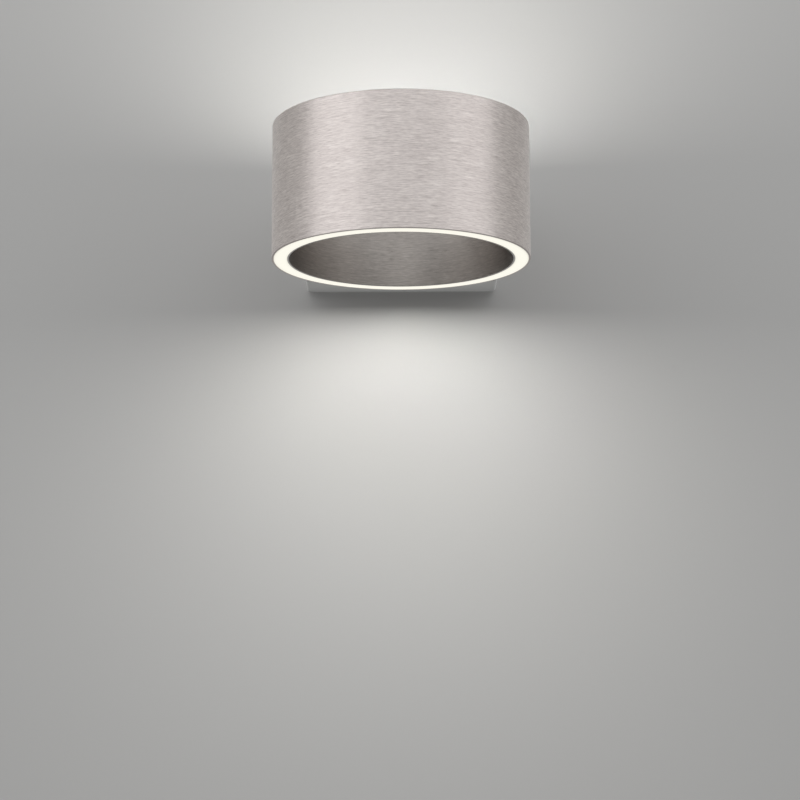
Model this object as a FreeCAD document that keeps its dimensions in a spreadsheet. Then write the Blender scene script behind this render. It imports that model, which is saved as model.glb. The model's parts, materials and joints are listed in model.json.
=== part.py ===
"""Tube wall light.

Two brushed sleeves make a short double-walled tube that stands upright in front of the wall. The
ring-shaped gap between them holds a heat-sink ring with an LED board, a windowed reflector and an
opal diffuser at each end. A saddle joins the tube to a shallow wall box, which hangs on a steel
bracket and is held there by one screw in each side.

Millimetres. The origin is on the wall, at the middle of the bracket: +X to the right, +Y into the
wall, +Z up. Pieces of the tube are drawn about the tube's own axis and placed in front of the wall.
"""
import FreeCAD, Part
import math
import os

import Sketcher
from FreeCAD import Rotation, Vector

document = FreeCAD.newDocument("tube_wall_light")

# ---------------------------------------------------------------- driving dimensions

SIZES = (
    # tube
    ("tube_diameter", 160.0, "outside of the outer sleeve"),
    ("tube_height", 85.0, "both sleeves"),
    ("sleeve_wall", 1.2, "sheet thickness of both sleeves"),
    ("light_gap", 8.3, "radial gap between the sleeves"),
    ("rim_break", 0.3, "broken edge on each rim"),
    ("slide_fit", 0.1, "clearance of a piece that slides into the gap"),
    # light engine, the same at both ends
    ("diffuser_plate", 2.0, "thickness of the opal ring"),
    ("diffuser_rib", 3.0, "depth of the ribs that snap into the reflector"),
    ("rib_wall", 0.8, "thickness of the ribs"),
    ("diffuser_fit", 0.15, "clearance of the opal ring between the sleeves"),
    ("light_depth", 16.0, "from the board to the opal ring"),
    ("reflector_wall", 0.8, "sides and floor of the reflector channel"),
    ("board_thickness", 1.2, "aluminium-backed board"),
    ("board_margin", 0.4, "gap from the board's edges to the sleeves"),
    ("led_count", 48, "LEDs on one board"),
    ("led_width", 2.8, "along the ring"),
    ("led_length", 3.5, "across the ring"),
    ("led_thickness", 0.7, "above the board"),
    ("window_margin", 0.4, "around each LED"),
    # heat-sink ring
    ("flange_thickness", 2.0, "upper and lower flange"),
    ("web_thickness", 2.2, "cylindrical web behind the outer sleeve"),
    ("boss_angle", 24.0, "sector filled for the fixing screws"),
    ("lead_channel", 3.0, "diameter of the vertical wire channels"),
    ("lead_slot", 5.0, "height of the slot behind the bush"),
    # fixing of the tube
    ("tube_screw_spacing", 32.0, "between the two M4 screws"),
    ("tube_screw_thread", 12.0, "length under the head"),
    ("saddle_seat", 2.0, "least thickness of the saddle"),
    ("saddle_width", 36.0, ""),
    ("saddle_height", 60.0, ""),
    ("saddle_fit", 0.15, "between its hollow and the sleeve"),
    ("bush_diameter", 8.0, "outside of the cable bush"),
    ("bush_bore", 5.0, ""),
    ("bush_flange", 11.5, "diameter of its flange"),
    ("bush_flange_thickness", 1.2, ""),
    ("bush_bevel", 0.6, "around its flange"),
    # wall box
    ("box_width", 125.0, ""),
    ("box_height", 72.0, ""),
    ("box_depth", 30.5, "from its rear rim to its front"),
    ("box_wall", 1.5, ""),
    ("box_edge", 2.0, "outer edge radius"),
    ("wall_gap", 0.5, "shadow gap between the rim and the wall"),
    # bracket
    ("bracket_sheet", 1.5, "sheet thickness"),
    ("bracket_fit", 0.3, "between its flanges and the box, each side"),
    ("bracket_height", 50.0, "base plate"),
    ("bracket_corner", 5.0, "corner radius of the base plate"),
    ("bracket_bend", 2.5, "outer bend radius"),
    ("flange_height", 26.0, "side flanges"),
    ("flange_reach", 20.0, "side flanges, from the wall"),
    ("cable_hole", 24.0, "diameter"),
    ("slot_spacing", 90.0, "between the middles of the wall screw slots"),
    ("slot_length", 12.0, "over all"),
    ("slot_width", 4.8, ""),
    ("junction_spacing", 60.0, "between the junction box holes"),
    ("junction_hole", 4.2, "diameter"),
    # lock screws
    ("lock_screw_y", 13.0, "from the wall"),
    ("lock_nut_diameter", 8.0, "press nut"),
    ("lock_nut_length", 4.0, ""),
    ("lock_screw_thread", 8.0, "length under the head"),
    ("notch_fit", 0.25, "each side of the screw in its notch"),
    ("washer_diameter", 8.6, ""),
    ("washer_thickness", 0.8, ""),
    # fasteners
    ("screw_m4", 4.0, "thread diameter"),
    ("head_m4", 7.6, "head diameter"),
    ("head_m4_height", 2.4, ""),
    ("socket_m4", 2.5, "hexagon across flats"),
    ("head_edge", 0.35, "rounding or bevel of a head, as a share of its height"),
    ("socket_depth", 0.55, "as a share of the head's height"),
    ("screw_m3", 3.0, "thread diameter"),
    ("nut_m3", 5.5, "across flats"),
    ("nut_m3_height", 2.4, ""),
    ("stud_m3_length", 6.5, "weld studs"),
    ("nut_m4", 7.0, "across flats"),
    ("nut_m4_height", 3.2, ""),
    ("stud_m4_length", 9.0, "earth stud"),
    ("stud_bevel", 0.3, "around the tip of a stud"),
    ("screw_small", 2.5, "thread diameter, board screws"),
    ("head_small", 4.4, ""),
    ("head_small_height", 1.4, ""),
    ("socket_small", 1.5, "hexagon across flats"),
    ("thread_small", 5.2, "length under the head"),
    ("thread_fit", 0.05, "radial clearance drawn in a threaded hole"),
    ("pass_fit", 0.2, "radial clearance in a plain hole"),
    # driver
    ("driver_width", 40.0, ""),
    ("driver_length", 56.0, "case without its ears"),
    ("driver_height", 20.0, ""),
    ("driver_x", -27.0, "middle of the case"),
    ("driver_lid", 5.0, "height of the lid"),
    ("driver_edge", 1.5, "edge radius"),
    ("driver_exit", 12.0, "where the leads leave it, above the front"),
    ("ear_reach", 5.5, "beyond the case"),
    ("ear_width", 14.0, ""),
    ("ear_thickness", 2.2, ""),
    # terminal block
    ("terminal_x", 28.5, "middle of the block"),
    ("terminal_z", 8.0, "middle of the block"),
    ("terminal_width", 17.0, ""),
    ("terminal_height", 14.0, ""),
    ("pole_pitch", 8.0, ""),
    ("pole_width", 6.4, ""),
    ("terminal_base", 4.0, "height of the strip under the poles"),
    ("wire_height", 6.5, "wire entries above the front"),
    ("wire_entry", 3.4, "diameter"),
    ("terminal_screw", 3.6, "diameter"),
    ("terminal_screw_inset", 4.2, "from the block's sides"),
    ("terminal_screw_drop", 1.5, "below the mouth of its well"),
    ("screw_slot_length", 2.9, ""),
    ("screw_slot_width", 0.8, ""),
    ("screw_slot_depth", 0.9, ""),
    # cable clamp and earth point
    ("clamp_x", 30.0, ""),
    ("clamp_z", -20.0, ""),
    ("clamp_spacing", 18.0, "between its studs"),
    ("clamp_length", 27.0, ""),
    ("clamp_breadth", 9.0, ""),
    ("clamp_sheet", 1.5, ""),
    ("clamp_arch_width", 11.0, "outside"),
    ("clamp_arch_height", 6.5, ""),
    ("earth_x", 10.0, ""),
    ("earth_z", -22.0, ""),
    ("lug_diameter", 8.4, ""),
    ("lug_thickness", 0.8, ""),
    ("lug_length", 10.0, "from the stud to the end of the barrel"),
    ("lug_neck", 3.4, "from the stud to the tongue"),
    # leads
    ("led_lead", 1.1, "diameter"),
    ("led_lead_offset", 1.2, "from the bush's axis"),
    ("mains_lead", 2.2, "diameter"),
    ("bend_radius", 2.2, "of the LED leads"),
    ("mains_bend", 5.0, "of the mains leads"),
    ("mains_level", 0.35, "level part at each end of a mains lead, as a share of its span"),
)

PLACES = (
    ("tube_r", "=Sizes.tube_diameter / 2"),
    ("bore_r", "=tube_r - Sizes.sleeve_wall"),
    ("core_r", "=bore_r - Sizes.light_gap"),
    ("clear_r", "=core_r - Sizes.sleeve_wall"),
    ("ring_r", "=(bore_r + core_r) / 2"),
    ("half_height", "=Sizes.tube_height / 2"),
    ("diffuser_z", "=half_height - Sizes.diffuser_plate"),
    ("board_z", "=diffuser_z - Sizes.light_depth"),
    ("flange_z", "=board_z - Sizes.board_thickness"),
    ("channel_out", "=bore_r - Sizes.slide_fit"),
    ("channel_in", "=core_r + Sizes.slide_fit"),
    ("led_pitch", "=360 / Sizes.led_count"),
    ("lead_x", "=ring_r * sin(led_pitch * 1 deg)"),
    ("lead_y", "=ring_r * cos(led_pitch * 1 deg)"),
    ("screw_reach", "=ring_r * sin(45 deg)"),
    ("screw_z", "=min(Sizes.tube_screw_spacing / 2; flange_z - Sizes.flange_thickness - Sizes.screw_m4)"),
    ("box_front", "=Sizes.wall_gap + Sizes.box_depth"),
    ("inside_front", "=box_front - Sizes.box_wall"),
    ("tube_y", "=-(box_front + Sizes.saddle_seat + tube_r)"),
    ("half_box", "=Sizes.box_width / 2"),
    ("half_bracket", "=half_box - Sizes.box_wall - Sizes.bracket_fit"),
    ("nut_face", "=half_bracket - Sizes.bracket_sheet"),
    ("head_face", "=half_box + Sizes.washer_thickness"),
)


def make_sheet(name, rows):
    """A sheet with one aliased cell for each row, its name before it and its note after it."""
    sheet = document.addObject("Spreadsheet::Sheet", name)
    for number, row in enumerate(rows, start=1):
        sheet.set("A%d" % number, row[0])
        sheet.set("B%d" % number, str(row[1]))
        sheet.setAlias("B%d" % number, row[0])
        if len(row) > 2:
            sheet.set("C%d" % number, row[2])
    document.recompute()
    return sheet


sizes = make_sheet("Sizes", SIZES)
places = make_sheet("Places", PLACES)


# ---------------------------------------------------------------- drawing helpers

def number(formula):
    """The present value of a formula of the sheets."""
    return float(places.evalExpression(formula))


def new_body(label, y=None, turn=None):
    """A body placed at y in front of the wall, turned about its own axis where it is a mirror copy."""
    body = document.addObject("PartDesign::Body", label)
    body.AllowCompound = True
    if turn:
        body.Placement.Rotation = turn
    if y:
        body.setExpression("Placement.Base.y", y)
    return body


def new_sketch(body, name, role, lift=None, turn=None):
    """A sketch on one of the body's own planes, lifted along its normal and turned in its plane."""
    sketch = body.newObject("Sketcher::SketchObject", name)
    plane = next(item for item in body.Origin.OriginFeatures if item.Role == role)
    sketch.AttachmentSupport = [(plane, "")]
    sketch.MapMode = "FlatFace"
    if lift:
        sketch.setExpression(".AttachmentOffset.Base.z", lift)
    if turn:
        sketch.setExpression(".AttachmentOffset.Rotation.Angle", turn)
    return sketch


def hold_point(sketch, item, end, across, up):
    """Holds a point of the sketch at two bound distances from the sketch's origin."""
    for kind, formula in (("DistanceX", across), ("DistanceY", up)):
        place = sketch.addConstraint(Sketcher.Constraint(kind, -1, 1, item, end, number(formula)))
        sketch.setExpression("Constraints[%d]" % place, formula)


def draw_outline(sketch, corners):
    """A closed outline of straight edges through corners."""
    first = sketch.GeometryCount
    points = [Vector(number(across), number(up), 0) for across, up in corners]
    for here, there in zip(points, points[1:] + points[:1]):
        sketch.addGeometry(Part.LineSegment(here, there), False)
    for index, (across, up) in enumerate(corners):
        after = first + (index + 1) % len(corners)
        sketch.addConstraint(Sketcher.Constraint("Coincident", first + index, 2, after, 1))
        hold_point(sketch, first + index, 1, across, up)
    return sketch


def draw_rectangle(sketch, left, right, low, high):
    """A rectangle between four bound coordinates."""
    return draw_outline(sketch, [(left, low), (right, low), (right, high), (left, high)])


def draw_circles(sketch, centres, radius):
    """Circles of one bound radius about bound centres."""
    for across, up in centres:
        centre = Vector(number(across), number(up), 0)
        item = sketch.addGeometry(Part.Circle(centre, Vector(0, 0, 1), number(radius)), False)
        hold_point(sketch, item, 3, across, up)
        place = sketch.addConstraint(Sketcher.Constraint("Radius", item, number(radius)))
        sketch.setExpression("Constraints[%d]" % place, radius)
    return sketch


def draw_hexagons(sketch, centres, flats):
    """Hexagons of one bound width across flats."""
    for across, up in centres:
        corners = []
        for side in range(6):
            corners.append(("%s + (%s) / sqrt(3) * cos(%d deg)" % (across, flats, 60 * side),
                            "%s + (%s) / sqrt(3) * sin(%d deg)" % (up, flats, 60 * side)))
        draw_outline(sketch, corners)
    return sketch


def volume(body):
    """The volume of what the body holds so far."""
    return body.Tip.Shape.Volume if body.Tip else 0.0


def add_feature(body, kind, sketch, settings, bound):
    """Adds one sketch-based feature and recomputes; a cut must remove material and a pad add it."""
    before = volume(body)
    feature = body.newObject("PartDesign::" + kind, sketch.Name + "_" + kind.lower())
    feature.Profile = sketch
    for name, setting in settings.items():
        setattr(feature, name, setting)
    for name, formula in bound.items():
        feature.setExpression(name, formula)
    document.recompute()
    after = feature.Shape.Volume
    cuts = kind in ("Pocket", "Groove")
    if feature.Shape.isNull() or (after >= before if cuts else after <= before):
        raise RuntimeError("%s does nothing in %s" % (feature.Name, body.Label))
    return feature


def pad(body, sketch, length, middle=False, reverse=False):
    """Raises a sketch along its normal, against it, or half each way."""
    return add_feature(body, "Pad", sketch, {"Midplane": middle, "Reversed": reverse}, {"Length": length})


def pocket(body, sketch, length, middle=False, reverse=False):
    """Cuts a sketch against its normal, along it, or half each way."""
    return add_feature(body, "Pocket", sketch, {"Midplane": middle, "Reversed": reverse}, {"Length": length})


def revolve(body, sketch, angle="360", middle=False):
    """Turns a sketch about its own vertical axis."""
    axis = {"ReferenceAxis": (sketch, ["V_Axis"]), "Midplane": middle}
    return add_feature(body, "Revolution", sketch, axis, {"Angle": angle})


def repeat_around(body, features, count):
    """Repeats features evenly about the body's upright axis."""
    pattern = body.newObject("PartDesign::PolarPattern", features[0].Name + "_around")
    pattern.Originals = features
    axis = next(item for item in body.Origin.OriginFeatures if item.Role == "Z_Axis")
    pattern.Axis = (axis, [""])
    pattern.Angle = 360
    pattern.setExpression("Occurrences", count)
    body.Tip = pattern
    document.recompute()
    return pattern


def dress_edges(body, kind, amount_name, amount, wanted):
    """A fillet or chamfer on the edges of the body's tip that wanted(edge) picks."""
    base = body.Tip
    names = ["Edge%d" % place for place, edge in enumerate(base.Shape.Edges, start=1) if wanted(edge)]
    if not names:
        raise RuntimeError("no edge to dress in " + body.Label)
    feature = body.newObject("PartDesign::" + kind, body.Name + "_" + kind.lower())
    feature.Base = (base, names)
    feature.setExpression(amount_name, amount)
    document.recompute()
    return feature


def round_edges(body, radius, wanted):
    """Rounds the edges that wanted(edge) picks."""
    return dress_edges(body, "Fillet", "Radius", radius, wanted)


def break_edges(body, width, wanted):
    """Bevels the edges that wanted(edge) picks."""
    return dress_edges(body, "Chamfer", "Size", width, wanted)


NEAR = 1e-4     # coordinates and radii this near count as the same


def lies_at(edge, axis, place):
    """Whether the whole edge lies at one coordinate: x, y or z."""
    box = edge.BoundBox
    ends = {"x": (box.XMin, box.XMax), "y": (box.YMin, box.YMax), "z": (box.ZMin, box.ZMax)}[axis]
    return abs(ends[0] - place) < NEAR and abs(ends[1] - place) < NEAR


def runs_along(edge, axis):
    """Whether the edge is straight and parallel to x, y or z."""
    if edge.Degenerated or edge.Curve.TypeId != "Part::GeomLine":
        return False
    way = edge.Curve.Direction
    return abs(abs(getattr(way, axis)) - 1) < NEAR


def is_circle_of(edge, radius):
    """Whether the edge is an arc or a circle of one radius."""
    if edge.Degenerated or edge.Curve.TypeId != "Part::GeomCircle":
        return False
    return abs(edge.Curve.Radius - radius) < NEAR


DOWN_COPY = Rotation(Vector(0, 1, 0), 180)
SIDES = (("upper", None), ("lower", DOWN_COPY))
HANDS = (("left", -1), ("right", 1))
SCREW_SIGNS = ((1, 1), (-1, 1), (-1, -1), (1, -1))
INSIDE = "Places.inside_front"

# middles of holes, studs and screws
TUBE_SCREWS = [("0", "Places.screw_z"), ("0", "-Places.screw_z")]
BOARD_SCREWS = [("%d * Places.screw_reach" % x, "%d * Places.screw_reach" % y) for x, y in SCREW_SIGNS]
LEAD_HOLES = [("Places.lead_x", "Places.lead_y"), ("-Places.lead_x", "Places.lead_y")]
LOCK_SCREW_AXIS = [("-Sizes.lock_screw_y", "0")]
DRIVER_STUDS = [("Sizes.driver_x", "%d * (Sizes.driver_length / 2 + Sizes.ear_reach / 2)" % sign)
                for sign in (-1, 1)]
CLAMP_STUDS = [("Sizes.clamp_x + %d * Sizes.clamp_spacing / 2" % sign, "Sizes.clamp_z") for sign in (-1, 1)]
EARTH_STUD = [("Sizes.earth_x", "Sizes.earth_z")]
POLES = ["Sizes.terminal_z + %d * Sizes.pole_pitch" % place for place in (-1, 0, 1)]
TERMINAL_SCREWS = [("Sizes.terminal_x + %d * (Sizes.terminal_width / 2 - Sizes.terminal_screw_inset)" % sign, place)
                   for place in POLES for sign in (-1, 1)]

# radii of holes, and depths that cut right through
M4_HOLE = "Sizes.screw_m4 / 2 + Sizes.pass_fit"
M4_THREAD = "Sizes.screw_m4 / 2 + Sizes.thread_fit"
M3_HOLE = "Sizes.screw_m3 / 2 + Sizes.pass_fit"
BUSH_HOLE = "Sizes.bush_diameter / 2 + Sizes.slide_fit"
LED_LEAD_HOLE = "Sizes.led_lead / 2 + Sizes.pass_fit"
THROUGH_SLEEVE = "Sizes.sleeve_wall * 4"
THROUGH_SADDLE = "Sizes.saddle_seat * 4"
THROUGH_SHEET = "Sizes.bracket_sheet * 4"
THROUGH_BOX = "Sizes.box_width * 2"


def cut_from_wall_side(body, name, draw, depth, start):
    """Cuts along -Y into the tube from a plane at the distance start behind the tube's axis."""
    sketch = draw(new_sketch(body, name, "XZ_Plane", lift="-(%s)" % start))
    return pocket(body, sketch, depth, reverse=True)


# ---------------------------------------------------------------- tube

def make_sleeve(label, outer, inner, has_fixing_holes):
    """One rolled and brushed sleeve with broken rims."""
    body = new_body(label, "Places.tube_y")
    plan = new_sketch(body, label + "_plan", "XY_Plane")
    draw_circles(plan, [("0", "0")], outer)
    draw_circles(plan, [("0", "0")], inner)
    pad(body, plan, "Sizes.tube_height", middle=True)
    half = number("Places.half_height")
    break_edges(body, "Sizes.rim_break", lambda edge: lies_at(edge, "z", half) or lies_at(edge, "z", -half))
    if has_fixing_holes:
        start = "%s + Sizes.sleeve_wall" % outer
        cut_from_wall_side(body, label + "_screw_holes",
                           lambda sketch: draw_circles(sketch, TUBE_SCREWS, M4_HOLE), THROUGH_SLEEVE, start)
        cut_from_wall_side(body, label + "_bush_hole",
                           lambda sketch: draw_circles(sketch, [("0", "0")], BUSH_HOLE), THROUGH_SLEEVE, start)
    return body


def make_core_ring():
    """The heat-sink ring: a C section open to the inside, solid at the rear for the two screws."""
    body = new_body("core_ring", "Places.tube_y")
    section = new_sketch(body, "core_section", "YZ_Plane")
    under = "Places.flange_z - Sizes.flange_thickness"
    web = "Places.channel_out - Sizes.web_thickness"
    draw_outline(section, [
        ("Places.channel_in", "Places.flange_z"), ("Places.channel_in", under),
        (web, under), (web, "-(%s)" % under),
        ("Places.channel_in", "-(%s)" % under), ("Places.channel_in", "-Places.flange_z"),
        ("Places.channel_out", "-Places.flange_z"), ("Places.channel_out", "Places.flange_z")])
    revolve(body, section)
    boss = new_sketch(body, "core_boss", "YZ_Plane")
    draw_rectangle(boss, "Places.channel_in", "Places.channel_out", "-(%s)" % under, under)
    revolve(body, boss, "Sizes.boss_angle", middle=True)
    blind = "Sizes.tube_screw_thread - Sizes.saddle_seat - Sizes.box_wall + Sizes.sleeve_wall"
    cut_from_wall_side(body, "core_threads", lambda sketch: draw_circles(sketch, TUBE_SCREWS, M4_THREAD),
                       blind, "Places.tube_r + Sizes.sleeve_wall")
    slot_half = "(Places.lead_x + Sizes.lead_channel / 2)"
    cut_from_wall_side(
        body, "core_slot",
        lambda sketch: draw_rectangle(sketch, "-" + slot_half, slot_half,
                                      "-Sizes.lead_slot / 2", "Sizes.lead_slot / 2"),
        "Places.tube_r - Places.lead_y + Sizes.lead_channel / 2", "Places.tube_r")
    holes = draw_circles(new_sketch(body, "core_channels", "XY_Plane"), LEAD_HOLES, "Sizes.lead_channel / 2")
    pocket(body, holes, "Sizes.tube_height", middle=True)
    holes = draw_circles(new_sketch(body, "core_board_threads", "XY_Plane"), BOARD_SCREWS,
                         "Sizes.screw_small / 2 + Sizes.thread_fit")
    pocket(body, holes, "Sizes.tube_height", middle=True)
    return body


def make_board(side, turn):
    """The ring-shaped board on a flange of the heat-sink ring."""
    body = new_body(side + "_led_board", "Places.tube_y", turn)
    plan = new_sketch(body, side + "_board_plan", "XY_Plane", lift="Places.flange_z")
    draw_circles(plan, [("0", "0")], "Places.bore_r - Sizes.board_margin")
    draw_circles(plan, [("0", "0")], "Places.core_r + Sizes.board_margin")
    draw_circles(plan, BOARD_SCREWS, "Sizes.screw_small / 2 + Sizes.pass_fit")
    draw_circles(plan, LEAD_HOLES, LED_LEAD_HOLE)
    pad(body, plan, "Sizes.board_thickness")
    return body


def make_leds(side, turn):
    """The surface-mounted LEDs of one board."""
    body = new_body(side + "_leds", "Places.tube_y", turn)
    plan = new_sketch(body, side + "_led_plan", "XY_Plane", lift="Places.board_z",
                      turn="Places.led_pitch * 0.5 deg")
    draw_rectangle(plan, "-Sizes.led_width / 2", "Sizes.led_width / 2",
                   "Places.ring_r - Sizes.led_length / 2", "Places.ring_r + Sizes.led_length / 2")
    led = pad(body, plan, "Sizes.led_thickness")
    repeat_around(body, [led], "Sizes.led_count")
    return body


def make_reflector(side, turn):
    """The white channel over the board, with a window for each LED, which carries the diffuser."""
    body = new_body(side + "_reflector", "Places.tube_y", turn)
    section = new_sketch(body, side + "_channel_section", "YZ_Plane")
    inner = "Places.channel_in + Sizes.reflector_wall"
    outer = "Places.channel_out - Sizes.reflector_wall"
    floor = "Places.board_z + Sizes.reflector_wall"
    draw_outline(section, [
        ("Places.channel_in", "Places.board_z"), ("Places.channel_out", "Places.board_z"),
        ("Places.channel_out", "Places.diffuser_z"), (outer, "Places.diffuser_z"),
        (outer, floor), (inner, floor),
        (inner, "Places.diffuser_z"), ("Places.channel_in", "Places.diffuser_z")])
    revolve(body, section)
    holes = new_sketch(body, side + "_channel_holes", "XY_Plane", lift="Places.board_z")
    draw_circles(holes, BOARD_SCREWS, "Sizes.screw_small / 2 + Sizes.pass_fit")
    draw_circles(holes, LEAD_HOLES, LED_LEAD_HOLE)
    pocket(body, holes, "Sizes.reflector_wall", reverse=True)
    window = new_sketch(body, side + "_window", "XY_Plane", lift="Places.board_z",
                        turn="Places.led_pitch * 0.5 deg")
    half = "(Sizes.led_width / 2 + Sizes.window_margin)"
    deep = "(Sizes.led_length / 2 + Sizes.window_margin)"
    draw_rectangle(window, "-" + half, half, "Places.ring_r - " + deep, "Places.ring_r + " + deep)
    cut = pocket(body, window, "Sizes.reflector_wall", reverse=True)
    repeat_around(body, [cut], "Sizes.led_count")
    return body


def make_diffuser(side, turn):
    """The opal ring: a flat plate flush with the rims, and two ribs inside the channel."""
    body = new_body(side + "_diffuser", "Places.tube_y", turn)
    section = new_sketch(body, side + "_opal_section", "YZ_Plane")
    low = "Places.diffuser_z - Sizes.diffuser_rib"
    inner = "Places.channel_in + Sizes.reflector_wall + Sizes.slide_fit"
    outer = "Places.channel_out - Sizes.reflector_wall - Sizes.slide_fit"
    draw_outline(section, [
        ("Places.core_r + Sizes.diffuser_fit", "Places.half_height"),
        ("Places.core_r + Sizes.diffuser_fit", "Places.diffuser_z"),
        (inner, "Places.diffuser_z"), (inner, low), (inner + " + Sizes.rib_wall", low),
        (inner + " + Sizes.rib_wall", "Places.diffuser_z"), (outer + " - Sizes.rib_wall", "Places.diffuser_z"),
        (outer + " - Sizes.rib_wall", low), (outer, low), (outer, "Places.diffuser_z"),
        ("Places.bore_r - Sizes.diffuser_fit", "Places.diffuser_z"),
        ("Places.bore_r - Sizes.diffuser_fit", "Places.half_height")])
    revolve(body, section)
    return body


# ---------------------------------------------------------------- fasteners

def make_screws(label, role, centres, start, sign, screw, y=None, turn=None):
    """Pan-head hexagon-socket screws with their heads at start, pointing along sign times the normal."""
    body = new_body(label, y, turn)
    shanks = draw_circles(new_sketch(body, label + "_shanks", role, lift=start), centres, screw["thread"])
    pad(body, shanks, screw["length"], reverse=sign < 0)
    heads = draw_circles(new_sketch(body, label + "_heads", role, lift=start), centres, screw["head"])
    pad(body, heads, screw["height"], reverse=sign > 0)
    face = "%s - (%d) * %s" % (start, sign, screw["height"])
    rim, top = number(screw["head"]), number(face)
    axis = {"XY_Plane": "z", "XZ_Plane": "y", "YZ_Plane": "x"}[role]
    place = -top if role == "XZ_Plane" else top
    screw["dress"](body, "%s * Sizes.head_edge" % screw["height"],
                   lambda edge: is_circle_of(edge, rim) and lies_at(edge, axis, place))
    sockets = draw_hexagons(new_sketch(body, label + "_sockets", role, lift=face), centres, screw["socket"])
    pocket(body, sockets, "%s * Sizes.socket_depth" % screw["height"], reverse=sign > 0)
    return body


# the heads of the lock screws show, so they are rounded; the hidden ones have a bevel
M4_SCREW = {"thread": "Sizes.screw_m4 / 2", "head": "Sizes.head_m4 / 2", "height": "Sizes.head_m4_height",
            "socket": "Sizes.socket_m4", "length": "Sizes.tube_screw_thread", "dress": break_edges}
LOCK_SCREW = dict(M4_SCREW, length="Sizes.lock_screw_thread", dress=round_edges)
BOARD_SCREW = {"thread": "Sizes.screw_small / 2", "head": "Sizes.head_small / 2",
               "height": "Sizes.head_small_height", "socket": "Sizes.socket_small",
               "length": "Sizes.thread_small", "dress": break_edges}


def make_studs(label, centres, radius, length):
    """Weld studs on the inside of the box's front."""
    body = new_body(label)
    plan = draw_circles(new_sketch(body, label + "_plan", "XZ_Plane", lift="Places.inside_front"),
                        centres, radius)
    pad(body, plan, length, reverse=True)
    tip = -number("Places.inside_front - %s" % length)
    break_edges(body, "Sizes.stud_bevel", lambda edge: lies_at(edge, "y", tip))
    return body


def make_nuts(label, centres, flats, bore, height, seat):
    """Hexagon nuts on studs, each on a piece of thickness seat."""
    body = new_body(label)
    plan = new_sketch(body, label + "_plan", "XZ_Plane", lift="Places.inside_front - (%s)" % seat)
    draw_hexagons(plan, centres, flats)
    draw_circles(plan, centres, "%s + Sizes.thread_fit" % bore)
    pad(body, plan, height, reverse=True)
    return body


# ---------------------------------------------------------------- saddle, bush and wall box

def make_saddle():
    """The spacer between the round sleeve and the flat box, hollowed to the sleeve's radius."""
    body = new_body("tube_saddle")
    plan = new_sketch(body, "saddle_plan", "XY_Plane")
    half = "(Sizes.saddle_width / 2)"
    reach = "-(Places.box_front + Sizes.saddle_seat + Places.tube_r - sqrt(Places.tube_r ^ 2 - %s ^ 2))" % half
    draw_rectangle(plan, "-" + half, half, reach, "-Places.box_front")
    pad(body, plan, "Sizes.saddle_height", middle=True)
    corner = number("Sizes.saddle_width / 2")
    round_edges(body, "Sizes.saddle_seat",
                lambda edge: runs_along(edge, "y") and abs(abs(edge.BoundBox.XMin) - corner) < NEAR)
    hollow = draw_circles(new_sketch(body, "saddle_hollow", "XY_Plane"), [("0", "Places.tube_y")],
                          "Places.tube_r + Sizes.saddle_fit")
    pocket(body, hollow, "Sizes.tube_height", middle=True)
    holes = new_sketch(body, "saddle_holes", "XZ_Plane", lift=INSIDE)
    draw_circles(holes, TUBE_SCREWS, M4_HOLE)
    draw_circles(holes, [("0", "0")], BUSH_HOLE)
    pocket(body, holes, THROUGH_SADDLE, reverse=True)
    return body


def make_bush():
    """The cable bush through box, saddle and sleeve, with its flange inside the box."""
    body = new_body("cable_bush")
    flange = draw_circles(new_sketch(body, "bush_flange", "XZ_Plane", lift=INSIDE),
                          [("0", "0")], "Sizes.bush_flange / 2")
    pad(body, flange, "Sizes.bush_flange_thickness", reverse=True)
    rim, seat = number("Sizes.bush_flange / 2"), -number(INSIDE)
    break_edges(body, "Sizes.bush_bevel",
                lambda edge: is_circle_of(edge, rim) and edge.BoundBox.YMin > seat + NEAR)
    barrel = draw_circles(new_sketch(body, "bush_barrel", "XZ_Plane", lift=INSIDE),
                          [("0", "0")], "Sizes.bush_diameter / 2")
    pad(body, barrel, "Sizes.box_wall + Sizes.saddle_seat + Sizes.sleeve_wall")
    bore = draw_circles(new_sketch(body, "bush_bore", "XZ_Plane", lift=INSIDE),
                        [("0", "0")], "Sizes.bush_bore / 2")
    pocket(body, bore, "Places.tube_r", middle=True)
    return body


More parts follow.
